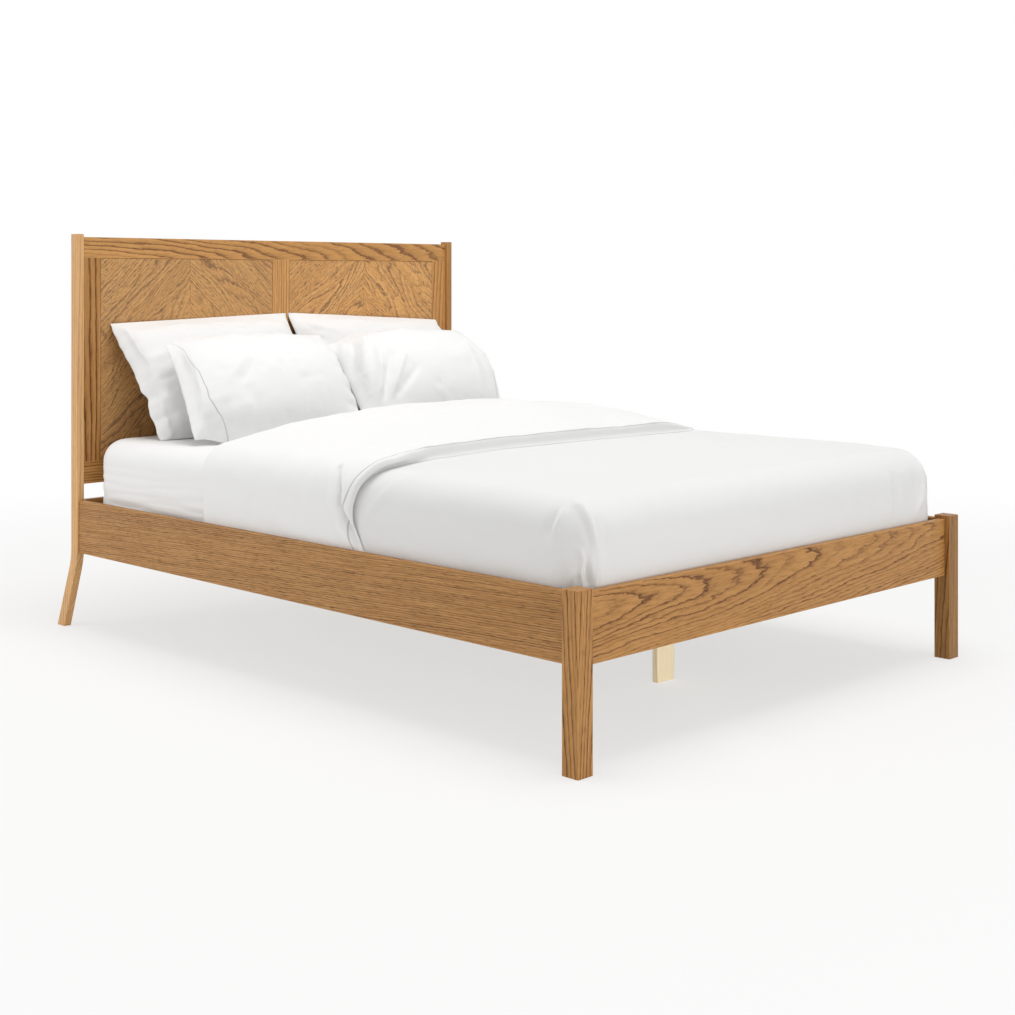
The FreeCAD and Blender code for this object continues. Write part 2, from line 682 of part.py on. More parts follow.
def leg_screws():
    """One screw through each horn of a centre leg into the bearer."""
    for end, front in LEG_FRONTS.items():
        for sign in (-1, 1):
            middle = f"({front} + Sizes.centre_leg_thickness / 2)"
            height = f"({CENTRE_BOTTOM} + Sizes.centre_rail_height / 2)"
            at = (f"({sign} * Sizes.centre_leg_width / 2)", middle, height)
            horn = "(Sizes.centre_leg_width - Sizes.centre_rail_width) / 2"
            pieces = (f"centre_leg_{end}", "centre_rail")
            screw("leg_screws", at, (-sign, 0, 0), pieces, f"{horn} + Sizes.screw_bite")


def hangers():
    """Pressed steel shoes on the foot rail and head cross rail that carry the bearer's ends."""
    steel = "Sizes.hanger_steel"
    inner = "(Sizes.centre_rail_width / 2 + Sizes.fit_gap)"
    outer = f"({inner} + {steel})"
    ear = f"({outer} + Sizes.hanger_ear)"
    top = f"({steel} + Sizes.centre_rail_height)"
    shoe = [
        (f"(-{outer})", "0"), (outer, "0"), (outer, top), (inner, top),
        (inner, steel), (f"(-{inner})", steel), (f"(-{inner})", top), (f"(-{outer})", top),
    ]
    plate = [(f"(-{ear})", "0"), (ear, "0"), (ear, top), (f"(-{ear})", top)]
    for end, low_y, plate_shift, shoe_shift in (
        ("foot", FOOT_RAIL_IN, "0", steel),
        ("head", f"({HANGER_HEAD} - Sizes.hanger_depth)", "Sizes.hanger_depth", "0"),
    ):
        label = f"hanger_{end}"
        body = DOC.addObject("PartDesign::Body", label)
        for points, shift, depth in ((plate, plate_shift, steel), (shoe, shoe_shift, "Sizes.hanger_depth")):
            feature = pad(body, "Y", points, depth)
            feature.Profile[0].setExpression("AttachmentOffset.Base.z", f"-({shift})")
        place(body, ("0", low_y, f"({CENTRE_BOTTOM} - {steel})"))
        finish(body, label)


def hanger_screws():
    """Four screws through the ears of each hanger."""
    across = "(Sizes.centre_rail_width / 2 + Sizes.hanger_steel + Sizes.hanger_ear / 2)"
    length = "Sizes.hanger_steel + Sizes.screw_bite"
    rows = (
        ("hanger_foot", "foot_rail", HANGER_FOOT, (0, -1, 0)),
        ("hanger_head", "head_cross_rail", HANGER_HEAD, (0, 1, 0)),
    )
    for hanger, rail, face, direction in rows:
        for sign in (-1, 1):
            for part in SCREW_ROWS:
                height = f"({CENTRE_BOTTOM} + Sizes.centre_rail_height * {part})"
                at = (f"({sign} * {across})", face, height)
                screw("hanger_screws", at, direction, (hanger, rail), length)


def soft_block(name, grow, base, top):
    """A mattress-shaped block, grown all round, with rounded corners and rounded top edges."""
    width = f"(Sizes.mattress_width + 2 * {grow})"
    length = f"(Sizes.mattress_length + 2 * {grow})"
    body = DOC.addObject("PartDesign::Body", name)
    blank = pad(body, "Z", rectangle(width, length), f"{top} - {base}")
    corners = body.newObject("PartDesign::Fillet", "Corners")
    corners.Base = (blank, edges_along(blank.Shape, "Z"))
    corners.setExpression("Radius", f"Sizes.mattress_corner_radius + {grow}")
    DOC.recompute()
    high = corners.Shape.BoundBox.ZMax
    rim = [
        f"Edge{i}"
        for i, edge in enumerate(corners.Shape.Edges, start=1)
        if edge.BoundBox.ZMin > high - TOLERANCE
    ]
    rounded = body.newObject("PartDesign::Fillet", "Edge")
    rounded.Base = (corners, rim)
    rounded.setExpression("Radius", f"Sizes.mattress_edge_radius + {grow}")
    DOC.recompute()
    place(body, (f"(-{width} / 2)", f"({MATTRESS_FOOT} - {grow})", base))
    DOC.recompute()
    return body


def mattress_and_sheet():
    """The mattress, and the fitted sheet as a thin cap drawn over it."""
    node(soft_block("mattress", "0", SLAT_TOP, MATTRESS_TOP), "mattress")
    base = f"({SLAT_TOP} + Sizes.sheet_lift)"
    sheet = DOC.addObject("Part::Cut", "Sheet")
    sheet.Base = soft_block("SheetOuter", SHEET_OUT, base, f"({MATTRESS_TOP} + {SHEET_OUT})")
    sheet.Tool = soft_block("SheetInner", SHEET_IN, base, f"({MATTRESS_TOP} + {SHEET_IN})")
    node(sheet, "fitted_sheet")


def bed_section(along, half, base, top, crown, shoulder):
    """A closed section across the bed: upright sides, round shoulders and a low crowned top."""
    bend = shoulder * (1 - math.sqrt(0.5))
    spring = top - crown

    def at(x, z):
        return FreeCAD.Vector(x, along, z)

    edges = [
        Part.LineSegment(at(half, base), at(half, spring - shoulder)),
        Part.Arc(at(half, spring - shoulder), at(half - bend, spring - bend), at(half - shoulder, spring)),
        Part.Arc(at(half - shoulder, spring), at(0, top), at(shoulder - half, spring)),
        Part.Arc(at(shoulder - half, spring), at(bend - half, spring - bend), at(-half, spring - shoulder)),
        Part.LineSegment(at(-half, spring - shoulder), at(-half, base)),
        Part.LineSegment(at(-half, base), at(half, base)),
    ]
    return Part.Wire([edge.toShape() for edge in edges])


def duvet():
    """The duvet: tucked in at the foot and sides, its head end turned back as a thicker fold.

    A ruled loft of sections along the bed. At the foot and at the fold each section steps in by the
    rise of a quarter circle, so that the ends are round. The mattress's space is cut out of it.
    """
    half = value(f"{RAIL_IN} - Sizes.tuck_gap")
    foot = value(f"{FOOT_RAIL_IN} + Sizes.tuck_gap")
    base = value(f"{RAIL_TOP} - Sizes.tuck_depth")
    sheet_top = value(f"{SHEET_TOP} + Sizes.soft_gap")
    top = sheet_top + value("Sizes.duvet_loft")
    crown = value("Sizes.duvet_crown")
    shoulder = value("Sizes.duvet_shoulder")
    corner = value("Sizes.duvet_corner_radius")
    fold_head = value(f"{MATTRESS_HEAD} - Sizes.turn_down_from_head")
    fold_toe = fold_head - value("Sizes.turn_down_length")
    edge_top = top + value("Sizes.turn_down_edge")
    fold_top = top + value("Sizes.turn_down_loft")
    fold_crown = value("Sizes.turn_down_crown")
    fold = value("Sizes.fold_radius")
    quarter = [math.radians(angle) for angle in QUARTER_STEPS]

    lower = []
    for angle in quarter:
        inset = corner * (1 - math.sin(angle))
        along = foot + corner * (1 - math.cos(angle))
        lower.append(bed_section(along, half - inset, base, top - inset, crown, shoulder))
    lower.append(bed_section(fold_toe + fold, half, base, top, crown, shoulder))
    body = Part.makeLoft(lower, True, True)

    upper = [bed_section(fold_toe, half, base, edge_top, crown, shoulder)]
    upper.append(bed_section((fold_toe + fold_head) / 2, half, base, fold_top, fold_crown, shoulder))
    for angle in reversed(quarter[1:]):
        inset = fold * (1 - math.sin(angle))
        along = fold_head - fold * (1 - math.cos(angle))
        upper.append(bed_section(along, half, base, fold_top - inset, fold_crown, shoulder))
    turned = Part.makeLoft(upper, True, True)

    space = soft_block("BedSpace", DUVET_IN, SLAT_TOP, f"({MATTRESS_TOP} + {DUVET_IN})")
    item = DOC.addObject("Part::Feature", "duvet")
    item.Shape = body.fuse(turned).cut(space.Shape).removeSplitter()
    node(item, "duvet")


def pillow_section(station, width, flare, crown):
    """A lens of two arcs between short hems, at a station from -1 at the pillow's foot to 1 at its top.

    Its width is drawn in towards the middle and narrows by the flare towards the top, or widens where
    the flare is negative. Both arcs swell from the ends to the middle.
    """
    full = (1 - abs(station) ** PILLOW_SPREAD) ** PILLOW_ROUND
    hem = value("Sizes.pillow_hem") / 2
    bow = value("Sizes.pillow_hem_bow")
    half = width / 2 - value("Sizes.pillow_draw_in") * (1 - station ** 2) - flare * (1 + station) / 2
    front = hem + bow + crown * full
    back = hem + bow + value("Sizes.pillow_back_crown") * full
    height = station * value("Sizes.pillow_height") / 2

    def at(across, depth):
        return FreeCAD.Vector(across, depth, height)

    edges = [
        Part.LineSegment(at(-half, hem), at(-half, -hem)),
        Part.Arc(at(-half, -hem), at(0, -front), at(half, -hem)),
        Part.LineSegment(at(half, -hem), at(half, hem)),
        Part.Arc(at(half, hem), at(0, back), at(-half, hem)),
    ]
    return Part.Wire([edge.toShape() for edge in edges])


def pillow(width, flare, crown, lean):
    """A pillow leant back about its width, seen upright from the foot."""
    sections = [pillow_section(station, width, flare, crown) for station in PILLOW_STATIONS]
    shape = Part.makeLoft(sections, True, True)
    return shape.rotated(FreeCAD.Vector(0, 0, 0), FreeCAD.Vector(1, 0, 0), -lean)


def pillows():
    """Two pillows against the headboard, shifted to the right, and two in front that lean on them."""
    gap = value("Sizes.soft_gap")
    rest = value(SHEET_TOP) + gap
    crowd = value("Sizes.pillow_side_gap") / 2
    rear_width = value("Sizes.rear_pillow_width")
    rear_flare = -value("Sizes.rear_pillow_flare")
    rear = pillow(rear_width, rear_flare, value("Sizes.rear_pillow_crown"), value("Sizes.rear_pillow_lean"))
    box = rear.optimalBoundingBox(False)
    rear.translate(FreeCAD.Vector(0, value(HEADBOARD_FRONT) - gap - box.YMax, rest - box.ZMin))

    # The front pillow lies against a plane at its own lean that just clears the rear one
    lean = value("Sizes.front_pillow_lean")
    front_width = value("Sizes.front_pillow_width")
    front = pillow(front_width, value("Sizes.front_pillow_flare"), value("Sizes.front_pillow_crown"), lean)
    front.translate(FreeCAD.Vector(0, 0, rest - front.optimalBoundingBox(False).ZMin))
    centre = FreeCAD.Vector(0, 0, 0)
    axis = FreeCAD.Vector(1, 0, 0)
    rear_face = rear.rotated(centre, axis, lean).optimalBoundingBox(False).YMin
    front_back = front.rotated(centre, axis, lean).optimalBoundingBox(False).YMax
    shift = (rear_face - gap - front_back) / math.cos(math.radians(lean))
    front.translate(FreeCAD.Vector(0, shift, 0))

    for row, shape, reach, shift in (
        ("rear", rear, rear_width / 2 - rear_flare, value("Sizes.rear_pillow_shift")),
        ("front", front, front_width / 2, 0),
    ):
        for side, sign in SIDES:
            item = DOC.addObject("Part::Feature", f"pillow_{row}_{side}")
            item.Shape = shape
            across = FreeCAD.Vector(sign * (reach + crowd) + shift, 0, 0)
            item.Placement = FreeCAD.Placement(across, FreeCAD.Rotation()).multiply(item.Placement)
            node(item, f"pillow_{row}_{side}")


def fastener_groups():
    """Like fasteners together, each still its own solid."""
    for label, items in GROUPS.items():
        group = DOC.addObject("Part::Compound", "Group")
        group.Links = items
        node(group, label)


def check_and_export():
    """Stop on any failed object or bad shape, then write one file for each sub-part."""
    DOC.recompute()
    for item in DOC.Objects:
        if "Invalid" in item.State or "Error" in item.State:
            raise RuntimeError(f"{item.Label} failed: {item.State}")
    for item in NODES:
        if item.Shape.isNull() or not item.Shape.isValid():
            raise RuntimeError(f"{item.Label} has no valid shape")
    os.makedirs("parts", exist_ok=True)
    for item in NODES:
        item.Shape.exportStep(f"parts/{item.Label}.step")
        print(item.Label, len(item.Shape.Solids), round(item.Shape.Volume))


rail_joints()
headboard_joints()
base_screws()
leg_screws()
hanger_screws()
foot_posts()
head_posts()
rails()
headboard_rails()
headboard_stiles()
headboard_panels()
chevron_fields()
slatted_base()
centre_support()
hangers()
mattress_and_sheet()
duvet()
pillows()
fastener_groups()
check_and_export()
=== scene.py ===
"""Looks of a made-up wooden bed: oiled oak frame, chevron headboard, pine base and white cotton bedding."""

import math

import bmesh
import bpy
import numpy as np
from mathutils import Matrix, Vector


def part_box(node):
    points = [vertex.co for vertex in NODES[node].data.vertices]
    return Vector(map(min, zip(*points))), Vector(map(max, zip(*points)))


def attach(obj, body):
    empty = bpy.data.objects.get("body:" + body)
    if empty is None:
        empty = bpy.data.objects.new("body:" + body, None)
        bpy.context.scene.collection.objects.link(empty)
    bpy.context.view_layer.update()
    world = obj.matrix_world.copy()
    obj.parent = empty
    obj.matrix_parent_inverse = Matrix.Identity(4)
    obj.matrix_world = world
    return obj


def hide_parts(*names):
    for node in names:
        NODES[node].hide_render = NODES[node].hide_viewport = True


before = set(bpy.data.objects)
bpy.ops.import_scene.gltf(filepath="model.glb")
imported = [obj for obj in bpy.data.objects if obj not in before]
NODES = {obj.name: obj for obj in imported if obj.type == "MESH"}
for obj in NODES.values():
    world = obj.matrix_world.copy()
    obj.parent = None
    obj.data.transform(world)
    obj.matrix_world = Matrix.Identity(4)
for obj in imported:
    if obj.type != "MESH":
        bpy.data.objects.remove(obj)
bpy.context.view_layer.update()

bl_info = {
    "name": "Wooden bed",
    "version": (1, 0, 0),
    "blender": (4, 5, 0),
    "location": "3D View > Sidebar > Bed",
    "description": "Finishes the bed's boards and makes its bedding and stage",
    "category": "Object",
}

FRAME_BODY = "bed_frame"
BEDDING_BODY = "mattress_set"
SLATS = sorted(node for node in NODES if node.startswith("slat_") and node[5:].isdigit())
MM = 0.001
# Smallest length that counts, the closest that a block's outlines come to its middle, and the gap below
# which points there become one
TINY = 1e-6
CORE = 0.5 * MM
WELD_GAP = 0.4 * MM


def linear(code):
    """An sRGB hex colour as linear red, green, blue and an alpha of 1."""
    parts = np.array([int(code[i : i + 2], 16) for i in (1, 3, 5)]) / 255
    return (*np.where(parts <= 0.04045, parts / 12.92, ((parts + 0.055) / 1.055) ** 2.4), 1.0)


def colour(code, name, description):
    """A colour property with its default given as an sRGB hex value."""
    return bpy.props.FloatVectorProperty(
        name=name, description=description, subtype="COLOR", size=4, min=0, max=1, default=linear(code)
    )


def length(default, name, description):
    """A length property in metres."""
    return bpy.props.FloatProperty(
        name=name, description=description, default=default, unit="LENGTH", precision=4
    )


def power(default, name, description):
    """A lamp's power property in watts."""
    return bpy.props.FloatProperty(name=name, description=description, default=default, unit="POWER")


class OakLook(bpy.types.PropertyGroup):
    """Colours of the oiled oak."""

    late: colour("#C08E51", "Late wood", "Light part of each growth ring")
    middle: colour("#A9763B", "Middle tone", "Tone between the light and the dark wood")
    early: colour("#6E4119", "Early wood", "Dark part of each growth ring")
    pore: colour("#40250E", "Pores", "Open pores, darkened by the oil")


class PineLook(bpy.types.PropertyGroup):
    """Colours of the planed pine."""

    late: colour("#F6E8CB", "Late wood", "Pale ground of the pine")
    middle: colour("#EFDDB8", "Middle tone", "Tone between the ground and the rings")
    early: colour("#DDBE8B", "Early wood", "Ring lines of the pine")
    pore: colour("#CBA874", "Resin", "Fine resin streaks")


class BeddingLook(bpy.types.PropertyGroup):
    """Colour and shape of the bedding."""

    cotton: colour("#F4F4F3", "White cotton", "Sheet, pillow cases and the reverse of the duvet cover")
    face: colour("#EBEBEA", "Duvet face", "Upper face of the duvet cover, a shade greyer")
    ticking: colour("#E9E8E4", "Ticking", "Woven cover of the mattress")
    wrinkle: length(0.0022, "Wrinkle height", "Height of the small wrinkles in the bedding")
    fold: length(0.009, "Fold height", "Height of the soft folds in the duvet")


class StageLook(bpy.types.PropertyGroup):
    """Light and floor."""

    floor: colour("#F2F2F1", "Floor", "Pale studio floor")
    ambient: bpy.props.FloatProperty(
        name="Ambient", description="Strength of the even light", default=0.545
    )
    key: power(128, "Key", "Power of the main lamp")
    fill: power(24, "Fill", "Power of the lamp by the foot")
    side: power(24, "Side", "Power of the lamp by the head")
    leg: power(158, "Leg", "Power of the spot on the middle leg")


def add(tree, kind, sockets=None, out=0, **settings):
    """Add a shader node, set it up, fill its sockets with values or links and give one of its outputs."""
    item = tree.nodes.new(f"ShaderNode{kind}")
    for key, value in settings.items():
        setattr(item, key, value)
    for socket, value in (sockets or {}).items():
        if isinstance(value, bpy.types.NodeSocket):
            tree.links.new(value, item.inputs[socket])
        else:
            item.inputs[socket].default_value = value
    return item.outputs[out] if item.outputs else None


def maths(tree, operation, *values, clamp=False):
    """A maths node over values or links."""
    return add(tree, "Math", dict(enumerate(values)), operation=operation, use_clamp=clamp)


def vector(tree, operation, *values):
    """A vector maths node over values or links. A length or a dot product gives a number."""
    out = "Value" if operation in ("LENGTH", "DOT_PRODUCT") else "Vector"
    return add(tree, "VectorMath", dict(enumerate(values)), out, operation=operation)


def noise(tree, place, stretch, detail, roughness=0.5, out="Fac"):
    """Soft noise over a place, with so many waves in a metre along each axis."""
    place = vector(tree, "MULTIPLY", place, stretch)
    sockets = {"Vector": place, "Scale": 1, "Detail": detail, "Roughness": roughness}
    return add(tree, "TexNoise", sockets, out)


def ramp(tree, at, low, high, start, end):
    """A soft change from start to end while a value goes from low to high."""
    sockets = {0: at, 1: low, 2: high, 3: start, 4: end}
    return add(tree, "MapRange", sockets, interpolation_type="SMOOTHSTEP")


def blend(tree, share, one, other):
    """A colour that goes from one to the other by a share."""
    return add(tree, "Mix", {0: share, 6: one, 7: other}, 2, data_type="RGBA")


def coat(tree, sockets):
    """Close a material with a principled shader."""
    add(tree, "OutputMaterial", {"Surface": add(tree, "BsdfPrincipled", sockets)})


def blank(name):
    """A new material with an empty node tree, and that tree."""
    material = bpy.data.materials.new(name)
    material.use_nodes = True
    material.node_tree.nodes.clear()
    return material, material.node_tree


def dress(node, material):
    """Give a CAD node its finish."""
    NODES[node].data.materials.clear()
    NODES[node].data.materials.append(material)


# Darkness of the early wood over one growth ring, between its two ends
RING_STOPS = ((0.05, 1.0), (0.13, 0.75), (0.28, 0.2), (0.7, 0.0), (0.95, 0.1))
RING_ENDS = (0.7, 0.6)
STRAW = linear("#DDB98C")
# Waves in a metre along, across and through the grain: slow bends, ragged ring edges, clouds of tone and
# whorls, then fibres along the grain and pores across it
BEND_WAVES = (2.4, 13, 13)
RAGGED_WAVES = (26, 110, 110)
CLOUD_WAVES = (3, 16, 16)
WHORL_WAVES = (4.5, 14, 14)
FIBRE_WAVES = 4.5
PORE_WAVES = 400


def timber(
    tree, grain, look, rings, bend, jag, strength, pores, streaks, tint,
    pale=0.0, pit=33, fibres=165, tone=None, edge=None,
):
    """Shader of sawn and oiled timber from a grain vector.

    grain runs along the board, across it and through it, in metres from the pith. The distance from the
    pith, bent by slow noise, is counted in growth rings. Each ring goes from dark open early wood to light
    late wood, and is crossed by long fibres and short dark pores. Rings, bend and jag are in millimetres;
    strength, pores and streaks are the depths of the rings, pores and fibres. tint scales the colours,
    pale takes them towards straw, pit is the length of a pore in millimetres, and fibres is how many of
    them lie side by side in a metre.
    """
    straw = np.array(STRAW[:3])
    late, middle, early, pore = [
        (*(np.array(wood[:3]) * tint * (1 - pale) + straw * pale), 1)
        for wood in (look.late, look.middle, look.early, look.pore)
    ]
    slow = noise(tree, grain, BEND_WAVES, 2, 0.55, "Color")
    swing = bend * MM
    bent = vector(tree, "MULTIPLY_ADD", slow, (0, 2 * swing, 2 * swing), (0, -swing, -swing))
    bent = vector(tree, "ADD", bent, grain)
    radius = vector(tree, "LENGTH", vector(tree, "MULTIPLY", bent, (0, 1, 1)))
    ragged = noise(tree, grain, RAGGED_WAVES, 3, 0.6)
    radius = maths(tree, "MULTIPLY_ADD", ragged, jag * MM, radius)
    count = maths(tree, "DIVIDE", radius, rings * MM)
    phase = maths(tree, "FRACT", count)
    ring = maths(tree, "FLOOR", count)
    chance = add(tree, "TexWhiteNoise", {"W": ring}, "Value", noise_dimensions="1D")

    band = add(tree, "ValToRGB", {"Fac": phase})
    stops = band.node.color_ramp
    stops.interpolation = "B_SPLINE"
    for place, level in RING_STOPS:
        stops.elements.new(place).color = (level, level, level, 1)
    for end, level in zip((0, -1), RING_ENDS):
        stops.elements[end].color = (level, level, level, 1)
    # Some rings are darker than others
    weight = maths(tree, "MULTIPLY_ADD", chance, 1.0, 0.3)
    band = maths(tree, "MULTIPLY", band, weight)

    # Fibres, coarsened to 4 to 6 mm apart so that they show at the photograph's distance
    fibre = noise(tree, grain, (FIBRE_WAVES, fibres, fibres), 3, 0.65)
    cloud = noise(tree, grain, CLOUD_WAVES, 1)
    shade = maths(tree, "MULTIPLY_ADD", fibre, streaks, 0.15 - 0.5 * streaks)
    if tone is not None:
        shade = maths(tree, "ADD", shade, tone)
    shade = maths(tree, "MULTIPLY_ADD", cloud, 0.7, shade, clamp=True)
    paint = blend(tree, shade, late, middle)
    dark = maths(tree, "MULTIPLY", band, strength, clamp=True)
    paint = blend(tree, dark, paint, early)

    # Pores lie closest in the early wood
    pits = noise(tree, grain, (1 / (pit * MM), PORE_WAVES, PORE_WAVES), 1, 0.4)
    pits = ramp(tree, pits, 0.5, 0.7, 0.0, 1.0)
    open_wood = maths(tree, "MULTIPLY_ADD", band, 0.75, 0.25)
    pits = maths(tree, "MULTIPLY", pits, open_wood)
    deep = maths(tree, "MULTIPLY", pits, pores, clamp=True)
    paint = blend(tree, deep, paint, pore)
    if edge is not None:
        paint = blend(tree, maths(tree, "MULTIPLY", edge, 0.5), paint, late)

    rough = maths(tree, "MULTIPLY_ADD", pits, 0.2, 0.48)
    relief = maths(tree, "MULTIPLY_ADD", dark, 0.35, pits)
    bump = add(tree, "Bump", {"Strength": 0.5, "Distance": 0.35 * MM, "Height": relief}, invert=True)
    coat(tree, {"Base Color": paint, "Roughness": rough, "Normal": bump, "Specular IOR Level": 0.35})


ORDERS = {"X": (0, 2, 1), "Y": (1, 2, 0), "Z": (2, 0, 1)}
# Distances from a long edge between which its paler wood fades out
EDGE_PALING = (0.5 * MM, 3.5 * MM)


def board_finish(name, node, along, pith, tilt, look, **character):
    """A timber finish whose grain follows a board.

    along is the row axis of the board's length, pith the place of the pith across and through the board
    from its middle, and tilt how far the pith runs out across and through for each metre of length.
    """
    low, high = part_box(node)
    order = ORDERS[along]
    middle = [(low[i] + high[i]) / 2 for i in order]
    half = [(high[i] - low[i]) / 2 for i in order[1:]]
    material, tree = blank(name)
    place = add(tree, "TexCoord", out="Object")
    parts = add(tree, "SeparateXYZ", {0: place}).node.outputs
    lengthwise, *sides = [maths(tree, "SUBTRACT", parts[i], at) for i, at in zip(order, middle)]
    from_pith = [maths(tree, "SUBTRACT", at, away * MM) for at, away in zip(sides, pith)]
    shifted = [maths(tree, "MULTIPLY_ADD", lengthwise, -run, at) for run, at in zip(tilt, from_pith)]
    grain = add(tree, "CombineXYZ", {0: lengthwise, 1: shifted[0], 2: shifted[1]})
    # Distance to the nearest long edge, on whichever face the point lies
    inset = [maths(tree, "SUBTRACT", reach, maths(tree, "ABSOLUTE", at)) for at, reach in zip(sides, half)]
    edge = ramp(tree, maths(tree, "MAXIMUM", *inset), *EDGE_PALING, 1.0, 0.0)
    timber(tree, grain, look, edge=edge, **character)
    return material


# Each oak board: its length's axis, the pith across and through it in mm, the pith's run-out in metres for
# each metre, and then the rings, their bend and raggedness in mm, the depths of rings, pores and fibres,
# its tint and its paleness, and where they differ the length of its pores in mm and its fibres in a metre
OAK_BOARDS = {
    "foot_rail": ("X", (48, 92), (0.03, 0.055), (5.8, 13, 6.0, 1.1, 0.8, 1.9, 1.12, 0.0)),
    "side_rail_left": ("Y", (-210, 120), (-0.03, 0.02), (4.2, 6, 3.6, 1.1, 1.0, 4.4, 1.04, 0.0, 26, 250)),
    "side_rail_right": ("Y", (190, 140), (0.03, 0.015), (4.2, 6, 3.6, 1.1, 1.0, 4.4, 1.08, 0.0, 26, 250)),
    "head_cross_rail": ("X", (160, 90), (0.02, 0.03), (5.5, 7, 3.0, 0.7, 0.6, 1.8, 1.0, 0.0)),
    "foot_post_left": ("Z", (60, 55), (0.02, 0.03), (6.0, 6, 3.2, 1.1, 0.7, 3.2, 1.13, 0.0, 26, 220)),
    # The right foot post's low tint is partly its own darker wood and partly painted shade on its inner
    # face, which lies in the bed's shade
    "foot_post_right": ("Z", (70, -52), (0.02, -0.03), (6.0, 6, 3.2, 1.2, 0.7, 2.6, 0.82, 0.0, 26, 220)),
    # The left head post's high tint and paleness are partly its own paler wood and partly painted light on
    # its lit outer face
    "head_post_left": ("Z", (140, 110), (0.01, 0.01), (7.0, 5, 2.5, 1.2, 0.7, 3.6, 1.72, 0.46)),
    "head_post_right": ("Z", (-150, 90), (0.01, 0.01), (7.0, 5, 2.5, 0.9, 0.45, 1.4, 1.05, 0.05)),
    "headboard_top_rail": ("X", (-62, 96), (0.0, 0.13), (12.5, 15, 8.0, 1.4, 0.6, 1.6, 1.3, 0.08)),
    "headboard_bottom_rail": ("X", (-70, 60), (0.01, 0.05), (8.0, 10, 4.0, 1.2, 0.5, 1.4, 1.1, 0.0)),
    "headboard_stile_left": ("Z", (-62, 60), (0.02, 0.03), (13.0, 9, 5.0, 1.5, 0.6, 1.8, 1.12, 0.0)),
    "headboard_centre_stile": ("Z", (150, 130), (0.01, 0.01), (6.5, 6, 3.0, 1.1, 0.7, 2.8, 1.46, 0.12)),
    "headboard_stile_right": ("Z", (70, 80), (0.02, 0.02), (9.0, 8, 4.0, 1.0, 0.5, 1.4, 1.35, 0.06)),
}
CHARACTER = ("rings", "bend", "jag", "strength", "pores", "streaks", "tint", "pale", "pit", "fibres")
PINE_BOARDS = {
    "ledger_left": "Y",
    "ledger_right": "Y",
    "centre_rail": "Y",
    "centre_leg_foot": "Z",
    "centre_leg_head": "Z",
}
PINE_CHARACTER = {
    "rings": 6.0, "bend": 8, "jag": 1.2, "strength": 0.45, "pores": 0.25, "streaks": 1.0, "tint": 1.0,
}
PINE_PITH = (60, 45)
PINE_RUN_OUT = (0.02, 0.03)
SLAT_PITH = (70, 40)
VENEER_CHARACTER = {
    "rings": 9.0, "bend": 14, "jag": 3.0, "strength": 0.7, "pores": 0.45, "streaks": 1.2, "tint": 1.3,
}
BEECH_CHARACTER = {
    "rings": 3.0, "bend": 3, "jag": 1.0, "strength": 0.3, "pores": 0.4, "streaks": 1.0, "tint": 0.85,
}


class BED_OT_oak_frame(bpy.types.Operator):
    """Give each oak board its own oiled grain"""

    bl_idname = "bed.oak_frame"
    bl_label = "Oak frame"

    def execute(self, context):
        look = context.scene.bed_oak
        for node, (along, pith, tilt, character) in OAK_BOARDS.items():
            # Oiled oak, planed: a satin skin with dark ring-porous early wood
            settings = dict(zip(CHARACTER, character))
            dress(node, board_finish(f"oiled_oak_{node}", node, along, pith, tilt, look, **settings))
        return {"FINISHED"}


SLIP_ANGLE = math.radians(42)
SLIP_WIDTH = 64 * MM
# Each chevron field: the slope of its slips, a seed and its tint
CHEVRONS = {
    "chevron_left_rising": (1, 3.0, 1.20),
    "chevron_left_falling": (-1, 41.0, 1.26),
    "chevron_right_rising": (1, 87.0, 1.52),
    "chevron_right_falling": (-1, 23.0, 1.58),
}
CHEVRON_CHARACTER = {
    "rings": 5.0, "bend": 5, "jag": 5.0, "pores": 1.9, "streaks": 3.9, "pale": 0.20, "pit": 14,
    "fibres": 230,
}


